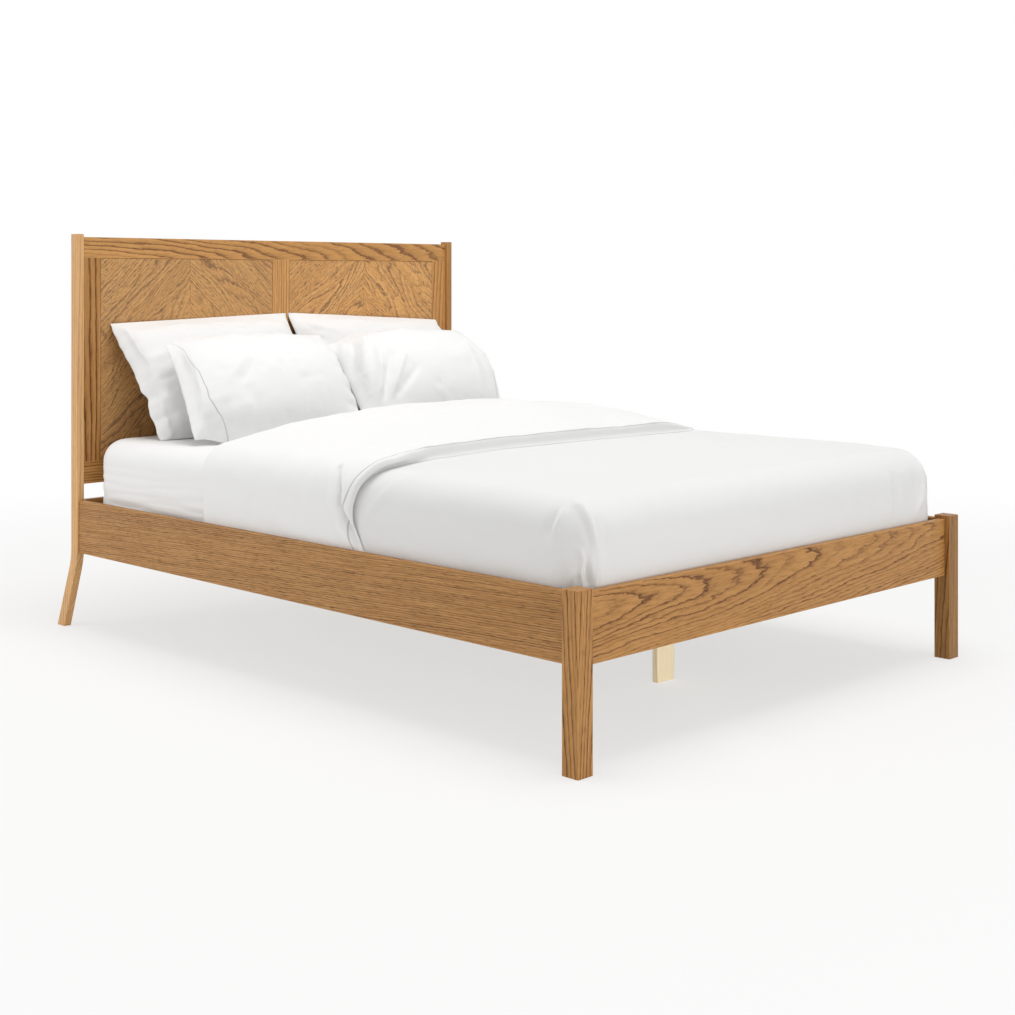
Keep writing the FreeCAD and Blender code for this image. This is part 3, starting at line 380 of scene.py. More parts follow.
def chevron_finish(name, node, slope, seed, tint, look):
    """Oak whose grain follows slanted slips, each slip cut from another place in the log.

    The place across the slips, from the foot of the mitre line, counts the slips. A random number for
    each slip moves its grain along, across and through, and makes it lighter or darker.
    """
    low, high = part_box(node)
    mitre = ((high if slope > 0 else low)[0], low[1], low[2])
    material, tree = blank(name)
    place = vector(tree, "SUBTRACT", add(tree, "TexCoord", out="Object"), mitre)
    lengthwise = (slope * math.cos(SLIP_ANGLE), 0, math.sin(SLIP_ANGLE))
    crosswise = (-slope * math.sin(SLIP_ANGLE), 0, math.cos(SLIP_ANGLE))
    along = vector(tree, "DOT_PRODUCT", place, lengthwise)
    across = vector(tree, "DOT_PRODUCT", place, crosswise)
    slip = maths(tree, "FLOOR", maths(tree, "DIVIDE", across, SLIP_WIDTH))
    within = maths(tree, "MULTIPLY_ADD", slip, -SLIP_WIDTH, across)
    slip = maths(tree, "ADD", slip, seed)
    chance = add(tree, "TexWhiteNoise", {"W": slip}, "Color", noise_dimensions="1D")
    parts = add(tree, "SeparateXYZ", {0: chance}).node.outputs
    # The pith lies 50 to 190 mm off and runs out along the slip, so that few slips show arches
    run_out = maths(tree, "MULTIPLY", along, 0.05)
    grain = add(tree, "CombineXYZ", {0: along, 1: within, 2: run_out})
    throw = vector(tree, "MULTIPLY_ADD", chance, (4, 0.22, 0.14), (0, -0.14, 0.05))
    grain = vector(tree, "ADD", grain, throw)
    # Whorls about 220 mm long and 70 mm across bend the grain into flames
    whorl = noise(tree, grain, WHORL_WAVES, 1, out="Color")
    whorl = vector(tree, "MULTIPLY_ADD", whorl, (0, 0.040, 0.032), (0, -0.020, -0.016))
    grain = vector(tree, "ADD", grain, whorl)
    strength = maths(tree, "MULTIPLY_ADD", parts[0], 1.1, 0.5)
    tone = maths(tree, "MULTIPLY_ADD", parts[1], 0.5, -0.25)
    timber(tree, grain, look, strength=strength, tint=tint, tone=tone, **CHEVRON_CHARACTER)
    return material


class BED_OT_chevron_slips(bpy.types.Operator):
    """Give the chevron slips their slanted grain, slip by slip"""

    bl_idname = "bed.chevron_slips"
    bl_label = "Chevron slips"

    def execute(self, context):
        for node, (slope, seed, tint) in CHEVRONS.items():
            # Oiled oak slips, rustic grade: uneven grain with whorls and open pores
            finish = chevron_finish(f"oiled_oak_{node}", node, slope, seed, tint, context.scene.bed_oak)
            dress(node, finish)
        return {"FINISHED"}


class BED_OT_pine_base(bpy.types.Operator):
    """Finish the pine slats, ledgers, bearer and legs, and the plywood cores of the headboard"""

    bl_idname = "bed.pine_base"
    bl_label = "Pine base"

    def execute(self, context):
        look = context.scene.bed_pine
        for node, along in PINE_BOARDS.items():
            # Planed pine, unfinished: pale, with thin straight ring lines
            name = f"planed_pine_{node}"
            dress(node, board_finish(name, node, along, PINE_PITH, PINE_RUN_OUT, look, **PINE_CHARACTER))
        finish = board_finish(
            "planed_pine_slats", SLATS[0], "X", SLAT_PITH, PINE_RUN_OUT, look, **PINE_CHARACTER
        )
        for node in SLATS:
            dress(node, finish)
        # Plywood faced with plain oak veneer, as on the back of a headboard
        oak = context.scene.bed_oak
        for node in ("headboard_panel_left", "headboard_panel_right"):
            name = f"oak_veneer_{node}"
            dress(node, board_finish(name, node, "Z", (40, 90), (0.02, 0.06), oak, **VENEER_CHARACTER))
        return {"FINISHED"}


def zinc_plate():
    """Steel with bright zinc: grey metal with soft spangles 6 mm across."""
    material, tree = blank("zinc_plated_steel")
    place = add(tree, "TexCoord", out="Object")
    cell = add(tree, "TexVoronoi", {"Vector": place, "Scale": 1 / (6 * MM)}, "Color")
    level = add(tree, "SeparateColor", {0: cell})
    rough = maths(tree, "MULTIPLY_ADD", level, 0.14, 0.28)
    paint = blend(tree, level, linear("#B4B7BA"), linear("#C8CACB"))
    coat(tree, {"Base Color": paint, "Metallic": 1.0, "Roughness": rough})
    return material


STEEL_NODES = (
    "hanger_foot", "hanger_head", "cam_bolts", "cam_locks", "ledger_screws", "slat_screws", "leg_screws",
    "hanger_screws",
)


class BED_OT_fittings(bpy.types.Operator):
    """Finish the steel hangers, fittings and screws and the beech dowels"""

    bl_idname = "bed.fittings"
    bl_label = "Fittings"

    def execute(self, context):
        steel = zinc_plate()
        for node in STEEL_NODES:
            dress(node, steel)
        for node in ("rail_dowels", "headboard_dowels"):
            # Beech, turned: plain pale wood
            name = f"turned_beech_{node}"
            look = context.scene.bed_pine
            dress(node, board_finish(name, node, "X", (30, 30), (0, 0), look, **BEECH_CHARACTER))
        return {"FINISHED"}


def grid_faces(rows, columns, wrap=False):
    """Corner numbers of the quads of a grid of points, row by row."""
    last = columns if wrap else columns - 1
    row, column = np.meshgrid(np.arange(rows - 1), np.arange(last), indexing="ij")
    start = row * columns + column
    side = row * columns + (column + 1) % columns
    return np.stack([start, side, side + columns, start + columns], axis=-1).reshape(-1, 4)


def surface(name, points, faces, flat=None):
    """A mesh object in the row frame from points and quads, with its flat metres as its UV map."""
    mesh = bpy.data.meshes.new(name)
    mesh.from_pydata(points.reshape(-1, 3).tolist(), [], faces.tolist())
    if flat is not None:
        layer = mesh.uv_layers.new(name="Cloth")
        corners = np.empty(len(mesh.loops), dtype=np.int32)
        mesh.loops.foreach_get("vertex_index", corners)
        layer.data.foreach_set("uv", flat.reshape(-1, 2)[corners].astype(np.float32).ravel())
    mesh.validate()
    mesh.polygons.foreach_set("use_smooth", np.ones(len(mesh.polygons), dtype=bool))
    mesh.update()
    item = bpy.data.objects.new(name, mesh)
    bpy.context.scene.collection.objects.link(item)
    return item


def weld(item, gap):
    """Merge points that coincide and turn every face outwards."""
    work = bmesh.new()
    work.from_mesh(item.data)
    bmesh.ops.remove_doubles(work, verts=work.verts, dist=gap)
    bmesh.ops.recalc_face_normals(work, faces=work.faces)
    work.to_mesh(item.data)
    work.free()
    item.data.update()


def ripple(a, b, seed, low, high, heading=0.0, spread=math.pi, count=24):
    """Slow random waves over a plane, about -1 to 1.

    A sum of sines with random phases, wavelengths between low and high in metres, and directions within
    the spread of the heading.
    """
    draw = np.random.default_rng(seed)
    total = np.zeros(np.broadcast(a, b).shape)
    for step in range(count):
        wave = 2 * math.pi / math.exp(draw.uniform(math.log(low), math.log(high)))
        turn = heading + draw.uniform(-spread, spread)
        total += np.sin(wave * (a * math.cos(turn) + b * math.sin(turn)) + draw.uniform(0, 2 * math.pi))
    return total / math.sqrt(count)


def folds(points, lines):
    """Sum of soft ridges along bent lines on a cloth.

    Each line gives its points, its height and its half width in metres. The ridge is a bell of the
    distance to the line and fades at both of its ends. A negative height is a valley.
    """
    total = np.zeros(points.shape[:-1])
    for path, height, width in lines:
        step = np.diff(path, axis=0)
        span = np.linalg.norm(step, axis=1)
        way = np.cumsum(span) - span
        nearest = np.full(total.shape, np.inf)
        along = np.zeros(total.shape)
        for i in range(len(step)):
            part = np.clip((points - path[i]) @ step[i] / span[i] ** 2, 0, 1)
            gap = np.linalg.norm(points - path[i] - part[..., None] * step[i], axis=-1)
            along = np.where(gap < nearest, (way[i] + part * span[i]) / span.sum(), along)
            nearest = np.minimum(nearest, gap)
        fade = np.sin(math.pi * (0.06 + 0.88 * along)) ** 0.7
        total += height * fade * np.exp(-((nearest / width) ** 2))
    return total


def smooth_step(low, high, at):
    """A soft step from 0 at low to 1 at high."""
    part = np.clip((at - low) / (high - low), 0, 1)
    return part * part * (3 - 2 * part)


def soft_stop(at, stop, ease):
    """Hold values above a stop, going over into it within about the ease."""
    over = (at - stop) / ease
    return stop + ease * np.where(over > 20, over, np.log1p(np.exp(np.minimum(over, 20))))


# Waves in a metre of the cloth's slubs, along and across the threads, and of its fine crush
SLUB_WAVES = (60, 400, 1)
CRUSH_WAVES = (38, 38, 38)
SLUB_TINT = linear("#DEDEDC")
# Grey of a seam's line: painted shade in the seam's groove
SEAM_PAINTED_SHADE = linear("#8F8F8D")


def cotton_weave(name, ground, thread, depth, seam=None):
    """Plain weave cloth: two sets of threads that pass over and under each other, read from the cloth's UV.

    The real threads are near 0.3 mm apart, too fine for the render, so they are drawn coarser. A seam is a
    thin line sunk into the bump and painted darker, the painted shade of its groove: its distance from the
    cloth's first edge, the share it leans by and its half width.
    """
    material, tree = blank(name)
    place = add(tree, "UVMap", uv_map="Cloth")
    parts = add(tree, "SeparateXYZ", {0: place}).node.outputs
    wave = 2 * math.pi / thread
    lines = [maths(tree, "SINE", maths(tree, "MULTIPLY", parts[i], wave)) for i in (0, 1)]
    weave = maths(tree, "MULTIPLY", *lines)
    slub = noise(tree, place, SLUB_WAVES, 2)
    crush = noise(tree, place, CRUSH_WAVES, 4, 0.55)
    height = maths(tree, "MULTIPLY_ADD", slub, 0.8, weave)
    height = maths(tree, "MULTIPLY_ADD", crush, 5.0, height)
    paint = blend(tree, maths(tree, "MULTIPLY", slub, 0.12), ground, SLUB_TINT)
    if seam is not None:
        start, lean, width = seam
        across = maths(tree, "MULTIPLY_ADD", parts[1], -lean, parts[0])
        away = maths(tree, "ABSOLUTE", maths(tree, "SUBTRACT", across, start))
        line = ramp(tree, away, 0.3 * width, width, 1.0, 0.0)
        height = maths(tree, "MULTIPLY_ADD", line, -8.0, height)
        # The seam's line is also painted darker, as painted shade in its groove
        paint = blend(tree, maths(tree, "MULTIPLY", line, 0.5), paint, SEAM_PAINTED_SHADE)
    bump = add(tree, "Bump", {"Strength": 0.35, "Distance": depth, "Height": height})
    sheen = {"Sheen Weight": 0.12, "Sheen Roughness": 0.5}
    coat(tree, {"Base Color": paint, "Roughness": 0.86, "Normal": bump, **sheen})
    return material


def cover(item, material, body, slot, *nodes):
    """Finish a soft piece and let it ride on its body in place of CAD nodes."""
    item.data.materials.append(material)
    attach(item, body)
    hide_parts(*nodes)


def round_plan(half, foot, head, corner, inset, straight=48, arc=14):
    """Closed plan outline of a rectangle with round corners, drawn in by each of many insets.

    Four sides and four quarter arcs in turn, with as many points at every inset, so that outlines stack
    into a grid. Gives X and Y arrays of one row for each inset.
    """
    inset = np.asarray(inset)[:, None]
    radius = np.maximum(corner - inset, 0.0)
    centre = (foot + head) / 2
    wide = np.maximum(half - inset - radius, 0)
    low = np.minimum(foot + inset + radius, centre)
    high = np.maximum(head - inset - radius, centre)
    side = np.linspace(0, 1, straight, endpoint=False)
    turn = np.linspace(0, math.pi / 2, arc, endpoint=False)
    xs = []
    ys = []
    for i, (sx, sy) in enumerate(((1, 1), (-1, 1), (-1, -1), (1, -1))):
        angle = i * math.pi / 2 + turn
        xs.append(sx * wide + radius * np.cos(angle))
        ys.append(np.where(sy > 0, high, low) + radius * np.sin(angle))
        if i % 2 == 0:
            xs.append(sx * wide * (1 - 2 * side))
            ys.append(np.where(sy > 0, high + radius, low - radius) + 0 * side)
        else:
            xs.append(sx * (wide + radius) + 0 * side)
            ys.append((high + (low - high) * side) if sx < 0 else (low + (high - low) * side))
    return np.concatenate(xs, axis=1), np.concatenate(ys, axis=1)


def block_profile(top, base, edge, half, crown, steps=22):
    """Insets and heights of a soft block's side, rounded top edge and crowned top, from foot to middle."""
    rise = np.linspace(base, top - edge, steps)
    turn = np.linspace(0, math.pi / 2, 12)[1:]
    flat = np.linspace(edge, half - CORE, 40)[1:]
    inset = np.concatenate([0 * rise, edge * (1 - np.cos(turn)), flat])
    lift = crown * np.sin(math.pi / 2 * np.clip((inset - edge) / (half - edge), 0, 1))
    height = np.concatenate([rise, top - edge + edge * np.sin(turn), top + 0 * flat]) + lift
    return inset, height


class BED_OT_mattress(bpy.types.Operator):
    """Make the mattress: a soft block with rounded edges and a bulging border"""

    bl_idname = "bed.mattress"
    bl_label = "Mattress"

    def execute(self, context):
        look = context.scene.bed_bedding
        low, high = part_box("mattress")
        half = high[0]
        edge = 58 * MM
        corner = 110 * MM
        heel = 14 * MM
        crown = 1.5 * MM
        play = 0.8 * MM
        swell = 0.6 * MM
        inset, height = block_profile(high[2] - 2 * MM, low[2] + heel, edge, half, crown)
        turn = np.linspace(0, math.pi / 2, 6, endpoint=False)
        under = np.linspace(half - CORE, heel, 24, endpoint=False)
        inset = np.concatenate([under, heel * (1 - np.sin(turn)), inset])
        height = np.concatenate([0 * under + low[2], low[2] + heel * (1 - np.cos(turn)), height])
        # The border swells in soft rows about 80 mm apart, by less than the gap to the sheet
        bow = np.where(inset < TINY, swell * np.cos(40 * (height - low[2])) ** 2, 0.0)
        x, y = round_plan(half - play, low[1] + play, high[1] - play, corner, inset - bow)
        points = np.stack([x, y, np.broadcast_to(height[:, None], x.shape)], axis=-1)
        flat = np.stack([x, y + height[:, None]], axis=-1)
        item = surface("mattress_block", points, grid_faces(*x.shape, wrap=True), flat)
        weld(item, WELD_GAP)
        # Woven damask ticking, drawn as a close plain weave with a soft sheen
        material = cotton_weave("mattress_ticking_damask", look.ticking, 2.4 * MM, 0.12 * MM)
        cover(item, material, BEDDING_BODY, "mattress_ticking", "mattress")
        return {"FINISHED"}


class BED_OT_fitted_sheet(bpy.types.Operator):
    """Draw the fitted sheet over the mattress, with slack wrinkles low on its sides"""

    bl_idname = "bed.fitted_sheet"
    bl_label = "Fitted sheet"

    def execute(self, context):
        look = context.scene.bed_bedding
        low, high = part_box("fitted_sheet")
        half = high[0]
        edge = 60 * MM
        corner = 112 * MM
        inset, height = block_profile(high[2], low[2], edge, half, 0.0, steps=44)
        x, y = round_plan(half, low[1], high[1], corner, inset, straight=110, arc=26)
        z = np.broadcast_to(height[:, None], x.shape)
        upright = (inset < TINY)[:, None]
        way = np.cumsum(np.hypot(np.diff(x[0], prepend=x[0, -1]), np.diff(y[0], prepend=y[0, -1])))
        slack = smooth_step(high[2] - 0.03, low[2] + 0.03, z) * upright
        wave = ripple(way[None, :] * 0.35, z, 7, 0.02, 0.07, heading=math.pi / 2, spread=0.35)
        pull = np.where(upright, np.minimum(look.wrinkle * slack * wave, 0.6 * MM), 0.0)
        top = np.hypot(x / half, (y - low[1]) / (high[1] - low[1]) - 0.5)
        lift = 0.5 * look.wrinkle * ripple(x, y, 11, 0.12, 0.4)
        lift = lift * smooth_step(edge, 140 * MM, inset)[:, None] * smooth_step(0.0, 0.2, top)
        outward = np.stack([np.gradient(y, axis=1), -np.gradient(x, axis=1)], axis=-1)
        outward /= np.maximum(np.linalg.norm(outward, axis=-1, keepdims=True), 1e-9)
        plan = np.stack([x, y], axis=-1) + outward * pull[..., None]
        points = np.concatenate([plan, (z - np.abs(lift) * 0.5)[..., None]], axis=-1)
        run = np.concatenate([[0], np.cumsum(np.hypot(np.diff(inset), np.diff(height)))])
        flat = np.stack([np.broadcast_to(way, x.shape), np.broadcast_to(run[:, None], x.shape)], axis=-1)
        item = surface("fitted_sheet_cotton", points, grid_faces(*x.shape, wrap=True), flat)
        weld(item, WELD_GAP)
        # Bleached percale: a matt white plain weave
        material = cotton_weave("bleached_percale_sheet", look.cotton, 3.0 * MM, 0.16 * MM)
        cover(item, material, BEDDING_BODY, "white_cotton", "fitted_sheet")
        return {"FINISHED"}


class BED_OT_webbing(bpy.types.Operator):
    """Stretch the two woven tapes that space the slats"""

    bl_idname = "bed.webbing"
    bl_label = "Webbing tapes"

    def execute(self, context):
        low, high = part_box("slat_webbing")
        width = 24 * MM
        sag = 0.4 * MM
        first, second = [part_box(node)[0][1] for node in SLATS[:2]]
        # Woven polyester tape: a coarse weave, its threads drawn 2 mm apart
        material = cotton_weave("woven_polyester_tape", linear("#D8D4CA"), 2.0 * MM, 0.3 * MM)
        for name, left in (("left", low[0]), ("right", high[0] - width)):
            across, along = np.meshgrid(np.linspace(0, width, 7), np.linspace(low[1], high[1], 480))
            # Between one slat and the next the tape hangs in a shallow bow
            bow = 0.5 - 0.5 * np.cos(2 * math.pi * (along - first) / (second - first))
            points = np.stack([left + across, along, high[2] - 0.1 * MM - sag * bow], axis=-1)
            flat = np.stack([across, along], axis=-1)
            item = surface(f"webbing_tape_{name}", points, grid_faces(*across.shape), flat)
            depth = item.modifiers.new("Depth", "SOLIDIFY")
            depth.thickness = 0.7 * MM
            depth.offset = -1
            cover(item, material, FRAME_BODY, "polyester_webbing", "slat_webbing")
        return {"FINISHED"}


# The duvet on the bed: half width at the rails, shoulder, foot, and heights above the floor
COVER_HALF = 0.7035
SHOULDER = 0.070
FOOT_ROLL = 0.085
COVER_FOOT = -0.9905
COVER_TOP = 0.5600
COVER_CROWN = 0.005
HEM_HEIGHT = 0.330
TURN_HEAD = 0.325
# How far the cloth goes past the shoulder line, its half width when flat, and Y of the foot's shoulder line
OVERHANG = SHOULDER * (math.pi / 2 - 1) + COVER_TOP - COVER_CROWN - HEM_HEIGHT
CLOTH_HALF = COVER_HALF - SHOULDER + OVERHANG
FOOT_LINE = COVER_FOOT + FOOT_ROLL


def on_bed(a, b):
    """Place of a point of the duvet on the bed, and the way out of the cloth there.

    a runs across the cloth from its middle and b along it from the foot's shoulder line. Within the top
    they are X and Y. Past an edge the cloth goes round a quarter circle and straight down. At a foot
    corner the depth is the larger of the two overhangs, their ratio turns the cloth round the corner, and
    the roll goes from that of the side to that of the foot.
    """
    flat_half = COVER_HALF - SHOULDER
    over = np.maximum(np.abs(a) - flat_half, 0)
    past = np.maximum(-b, 0)
    depth = np.maximum(over, past)
    share = np.minimum(over, past) / np.maximum(depth, 1e-9) * math.pi / 4
    turn = np.where(over >= past, share, math.pi / 2 - share)
    roll = SHOULDER + (FOOT_ROLL - SHOULDER) * np.sin(turn) ** 2
    bend = np.minimum(depth / roll, math.pi / 2)
    reach = np.sin(bend)
    fall = roll * (1 - np.cos(bend)) + np.maximum(depth - roll * math.pi / 2, 0)
    side = np.sign(a)
    x = side * (np.minimum(np.abs(a), flat_half) + SHOULDER * reach * np.cos(turn))
    y = FOOT_LINE + np.maximum(b, 0) - FOOT_ROLL * reach * np.sin(turn)
    crown = COVER_CROWN * (1 - np.minimum(np.abs(a) / flat_half, 1) ** 2) * smooth_step(0, 0.3, b)
    slump = 0.004 * smooth_step(0.24, 0.0, np.hypot(np.abs(a) - flat_half, b)) * np.cos(bend)
    z = np.maximum(COVER_TOP - COVER_CROWN + crown - slump - fall, HEM_HEIGHT)
    out = np.stack([side * reach * np.cos(turn), -reach * np.sin(turn), np.cos(bend)], axis=-1)
    return np.stack([x, y, z], axis=-1), out


# The turned-back end's toe: places across the cloth from the middle, and Y where it meets the duvet there
TOE_ACROSS = (-0.897, -0.855, -0.795, -0.760, -0.714, -0.665, -0.640, -0.600, -0.455, -0.180, 0.000,
              0.545, 0.600, 0.640, 0.714, 0.795, 0.855, 0.897)
TOE_ALONG = (-0.335, -0.312, -0.279, -0.281, -0.304, -0.333, -0.343, -0.325, -0.266, -0.232, -0.237,
             -0.240, -0.226, -0.206, -0.172, -0.165, -0.175, -0.185)
TOE_WINDOW = 25


def turn_down_toe(a):
    """Y of the turned-back end's toe: a curve through places across the cloth, smoothed by a bell."""
    fine = np.linspace(-1.0, 1.0, 801)
    bell = np.exp(-(np.linspace(-2.5, 2.5, TOE_WINDOW) ** 2))
    line = np.interp(fine, TOE_ACROSS, TOE_ALONG)
    line = np.convolve(np.pad(line, TOE_WINDOW // 2, mode="edge"), bell / bell.sum(), mode="valid")
    return np.interp(a, fine, line)


# Folds of the tucked duvet: places across and along the cloth, height as a share of the fold height, and
# half width. First the pinched near foot corner, then the far one, then the creases by the turned-back end
# and down the far side
DUVET_FOLDS = (
    (((-0.680, -0.050), (-0.674, -0.063), (-0.681, -0.091), (-0.683, -0.121), (-0.670, -0.152)), 1.5, 0.011),
    (((-0.660, -0.086), (-0.644, -0.124), (-0.620, -0.163)), -0.9, 0.018),
    (((-0.697, -0.037), (-0.725, -0.038), (-0.754, -0.027)), 1.0, 0.011),
    (((-0.707, -0.019), (-0.730, -0.009), (-0.764, 0.009)), -0.9, 0.012),
    (((-0.769, -0.153), (-0.772, -0.176), (-0.801, -0.205), (-0.812, -0.245)), 1.0, 0.006),
    (((-0.761, -0.180), (-0.765, -0.219), (-0.767, -0.255)), -1.4, 0.010),
    (((-0.824, -0.180), (-0.857, -0.175)), 0.4, 0.007),
    (((0.466, -0.060), (0.471, -0.097), (0.468, -0.158), (0.478, -0.180), (0.459, -0.235)), 0.6, 0.008),
    (((0.500, -0.110), (0.502, -0.182), (0.511, -0.208), (0.506, -0.240)), -0.6, 0.016),
    (((0.592, -0.090), (0.594, -0.120), (0.600, -0.165)), -0.6, 0.013),
    (((0.634, -0.085), (0.623, -0.167), (0.602, -0.199), (0.594, -0.245)), 1.0, 0.009),
    (((0.700, -0.150), (0.690, -0.190), (0.660, -0.250)), -0.9, 0.014),
    (((-0.681, 0.485), (-0.763, 0.567), (-0.815, 0.618)), 0.55, 0.012),
    (((-0.700, 0.520), (-0.775, 0.592), (-0.810, 0.625)), -0.35, 0.014),
    (((-0.465, 0.562), (-0.676, 0.455)), 0.35, 0.015),
    (((0.814, 0.300), (0.614, 0.500)), 0.4, 0.024),
    (((0.834, 0.020), (0.584, 0.120)), 0.4, 0.022),
)


def drawn_folds(points, table, fold):
    """Relief of a table of folds, at points of the duvet on the bed."""
    lines = [(on_bed(*np.array(places).T)[0], height * fold, width) for places, height, width in table]
    return folds(points, lines)


def duvet_relief(a, b, look):
    """Height of the duvet's folds over its even shape: pinched corners, drawn creases and soft wrinkles.

    The far foot corner is drawn in at its shoulder. Past the rails' tops everything fades out.
    """
    over = np.maximum(np.abs(a) - COVER_HALF + SHOULDER, 0)
    past = np.maximum(-b, 0)
    side = np.maximum(over, past)
    corner = np.minimum(over, past)
    at_corner = smooth_step(0.0, 0.03, corner)
    total = drawn_folds(on_bed(a, b)[0], DUVET_FOLDS, look.fold)
    total = total + 0.10 * look.fold * ripple(a, b, 3, 0.25, 0.7)
    lively = 0.10 + 0.18 * smooth_step(0.02, 0.15, side)
    total = total + look.wrinkle * ripple(a, b, 5, 0.04, 0.14) * lively
    round_off = np.sin(math.pi * np.minimum(np.arctan2(past, over + 1e-9) * 2 / math.pi, 1)) ** 2
    total = total - 0.018 * (a > 0) * round_off * at_corner * smooth_step(0.15, 0.05, side)
    # On the sides the cloth stays clear of the sheet, and nothing stands proud behind the rails
    hung = smooth_step(0.03, 0.09, side) * (1 - at_corner)
    total = total * (1 - hung) + soft_stop(total, -0.0035, 0.0012) * hung
    clear = 0.035 * at_corner
    total = total * (1 - smooth_step(OVERHANG - 0.075 + clear, OVERHANG - 0.035 + clear, side))
    return total * (1 - smooth_step(-0.045, -0.005, b + FOOT_LINE - turn_down_toe(a)))


NOSE_POINTS = 22
TOE_POINTS = 30
# The turned-back end: the height of its swell, where its middle is, the half width of its arch, its fall
# there and its least; its toe's thickness and how much less that is on the far side; its ends' reach; the
# depth of the seam above its toe, and its gap to the duvet
SWELL = 0.081
SWELL_MIDDLE = 0.08
SWELL_HALF = 0.715
SWELL_FALL = 0.062
SWELL_LEAST = 0.018
BRIM = 0.031
BRIM_FALL = 0.020
NOSE_REACH = 0.030
TOE_REACH = 0.008
SEAM_DEPTH = 0.0030
TURN_GAP = 0.0006


def turn_down_profile(steps):
    """The fold from its underside at the head, round its nose, along its top and round its toe.

    Gives the place along the fold from toe 0 to nose 1, the share of the thickness, and the share of the
    reach past each end, for each of the steps. The nose is a half ellipse. The toe is a rounded edge over
    a wall that spreads at its foot.
    """
    nose = np.linspace(-math.pi / 2, math.pi / 2, NOSE_POINTS)
    toe = np.linspace(math.pi / 2, -math.pi / 2, TOE_POINTS)
    wall = np.where(toe > 0, np.abs(np.cos(toe)) ** 0.6, 1 + 0.7 * np.abs(np.sin(toe)) ** 3)
    flat = np.linspace(1, 0, steps)[1:-1]
    along = np.concatenate([np.ones(NOSE_POINTS), flat, np.zeros(TOE_POINTS)])
    share = np.concatenate([(1 + np.sin(nose)) / 2, np.ones(steps - 2), (1 + np.sin(toe)) / 2])
    past = np.concatenate([np.cos(nose), np.zeros(steps - 2), -wall])
    return along, share, past


# Folds of the turned-back end, as for the duvet: the deep pleat on the near side between its two ridges,
# then the soft drape over the shoulders
TURN_FOLDS = (
    (((-0.688, 0.682), (-0.731, 0.654), (-0.760, 0.655), (-0.799, 0.633), (-0.865, 0.586)), -2.6, 0.0055),
    (((-0.690, 0.712), (-0.755, 0.680), (-0.800, 0.657), (-0.868, 0.612)), 1.0, 0.012),
    (((-0.710, 0.632), (-0.760, 0.636), (-0.795, 0.622)), 0.4, 0.008),
    (((-0.790, 0.775), (-0.560, 0.955)), 0.55, 0.028),
    (((-0.840, 0.860), (-0.600, 1.020)), 0.45, 0.034),
    (((-0.720, 0.760), (-0.400, 0.860)), 0.50, 0.045),
    (((0.620, 0.750), (0.400, 1.050)), 0.70, 0.040),
    (((0.800, 0.800), (0.600, 1.100)), 0.70, 0.030),
)


def turn_down_surface(look):
    """Points and flat coordinates of the turned-back end over the duvet.

    Its top swells across the bed like a low arch, thins over the shoulders and down the sides, and its
    toe is a soft roll with a sewn seam sunk above it. Soft folds run over both shoulders, and a deep
    pleat runs down the near side.
    """
    # Closer points on the near side, where the pleat is narrow
    near = np.linspace(-CLOTH_HALF, -0.6, 120, endpoint=False)
    across = np.concatenate([near, np.linspace(-0.6, CLOTH_HALF, 270)])
    place, share, past = turn_down_profile(200)
    a, place = np.meshgrid(across, place)
    share = share[:, None]
    past = past[:, None]
    down = np.maximum(np.abs(a) - (COVER_HALF - SHOULDER), 0)
    side = smooth_step(0.0, 0.25, down)
    swell = np.maximum(SWELL - SWELL_FALL * ((a - SWELL_MIDDLE) / SWELL_HALF) ** 2, SWELL_LEAST)
    brim = BRIM - BRIM_FALL * smooth_step(0.46, 0.66, a)
    thick = (brim + (swell - brim) * smooth_step(0.02, 0.6, place)) * (1 - 0.86 * side)
    toe = turn_down_toe(a)
    nose_reach = NOSE_REACH * (1 - 0.75 * side)
    toe_reach = TOE_REACH * (1 - 0.5 * side)
    y = toe + (TURN_HEAD - nose_reach - toe) * place
    y = y + past * np.where(place > 0.5, nose_reach, toe_reach)
    # On the near shoulder and side the toe stands clear of the duvet, hollow under its edge
    at_toe = place < 0.001
    hollow = 2.6 * toe_reach * smooth_step(-0.42, -0.64, a) * smooth_step(-0.875, -0.83, a)
    y = y + hollow * at_toe * smooth_step(0.5, 0.1, share)
    b = y - FOOT_LINE
    points, out = on_bed(a, b)
    relief = drawn_folds(points, TURN_FOLDS, look.fold) + 0.3 * look.fold * ripple(a, b, 29, 0.3, 0.8)
    relief = relief + 0.45 * look.wrinkle * ripple(a, b, 31, 0.05, 0.2)
    tucked = 1 - smooth_step(OVERHANG - 0.06, OVERHANG - 0.02, down)
    full = share * soft_stop(thick + relief * tucked * smooth_step(0.2, 0.9, share), 0.002, 0.0015)
    # The seam sinks a narrow line into the cloth at the top of the toe
    seam = np.exp(-(((share - 0.96) / 0.035) ** 2)) * at_toe
    full = full - SEAM_DEPTH * seam * (1 - 0.7 * side)
    points = points + out * (full + TURN_GAP)[..., None]
    steps = np.linalg.norm(np.diff(points[::-1], axis=0), axis=-1)
    run = np.concatenate([np.zeros((1, a.shape[1])), np.cumsum(steps, axis=0)])[::-1]
    return points, np.stack([run - hollow, a], axis=-1)


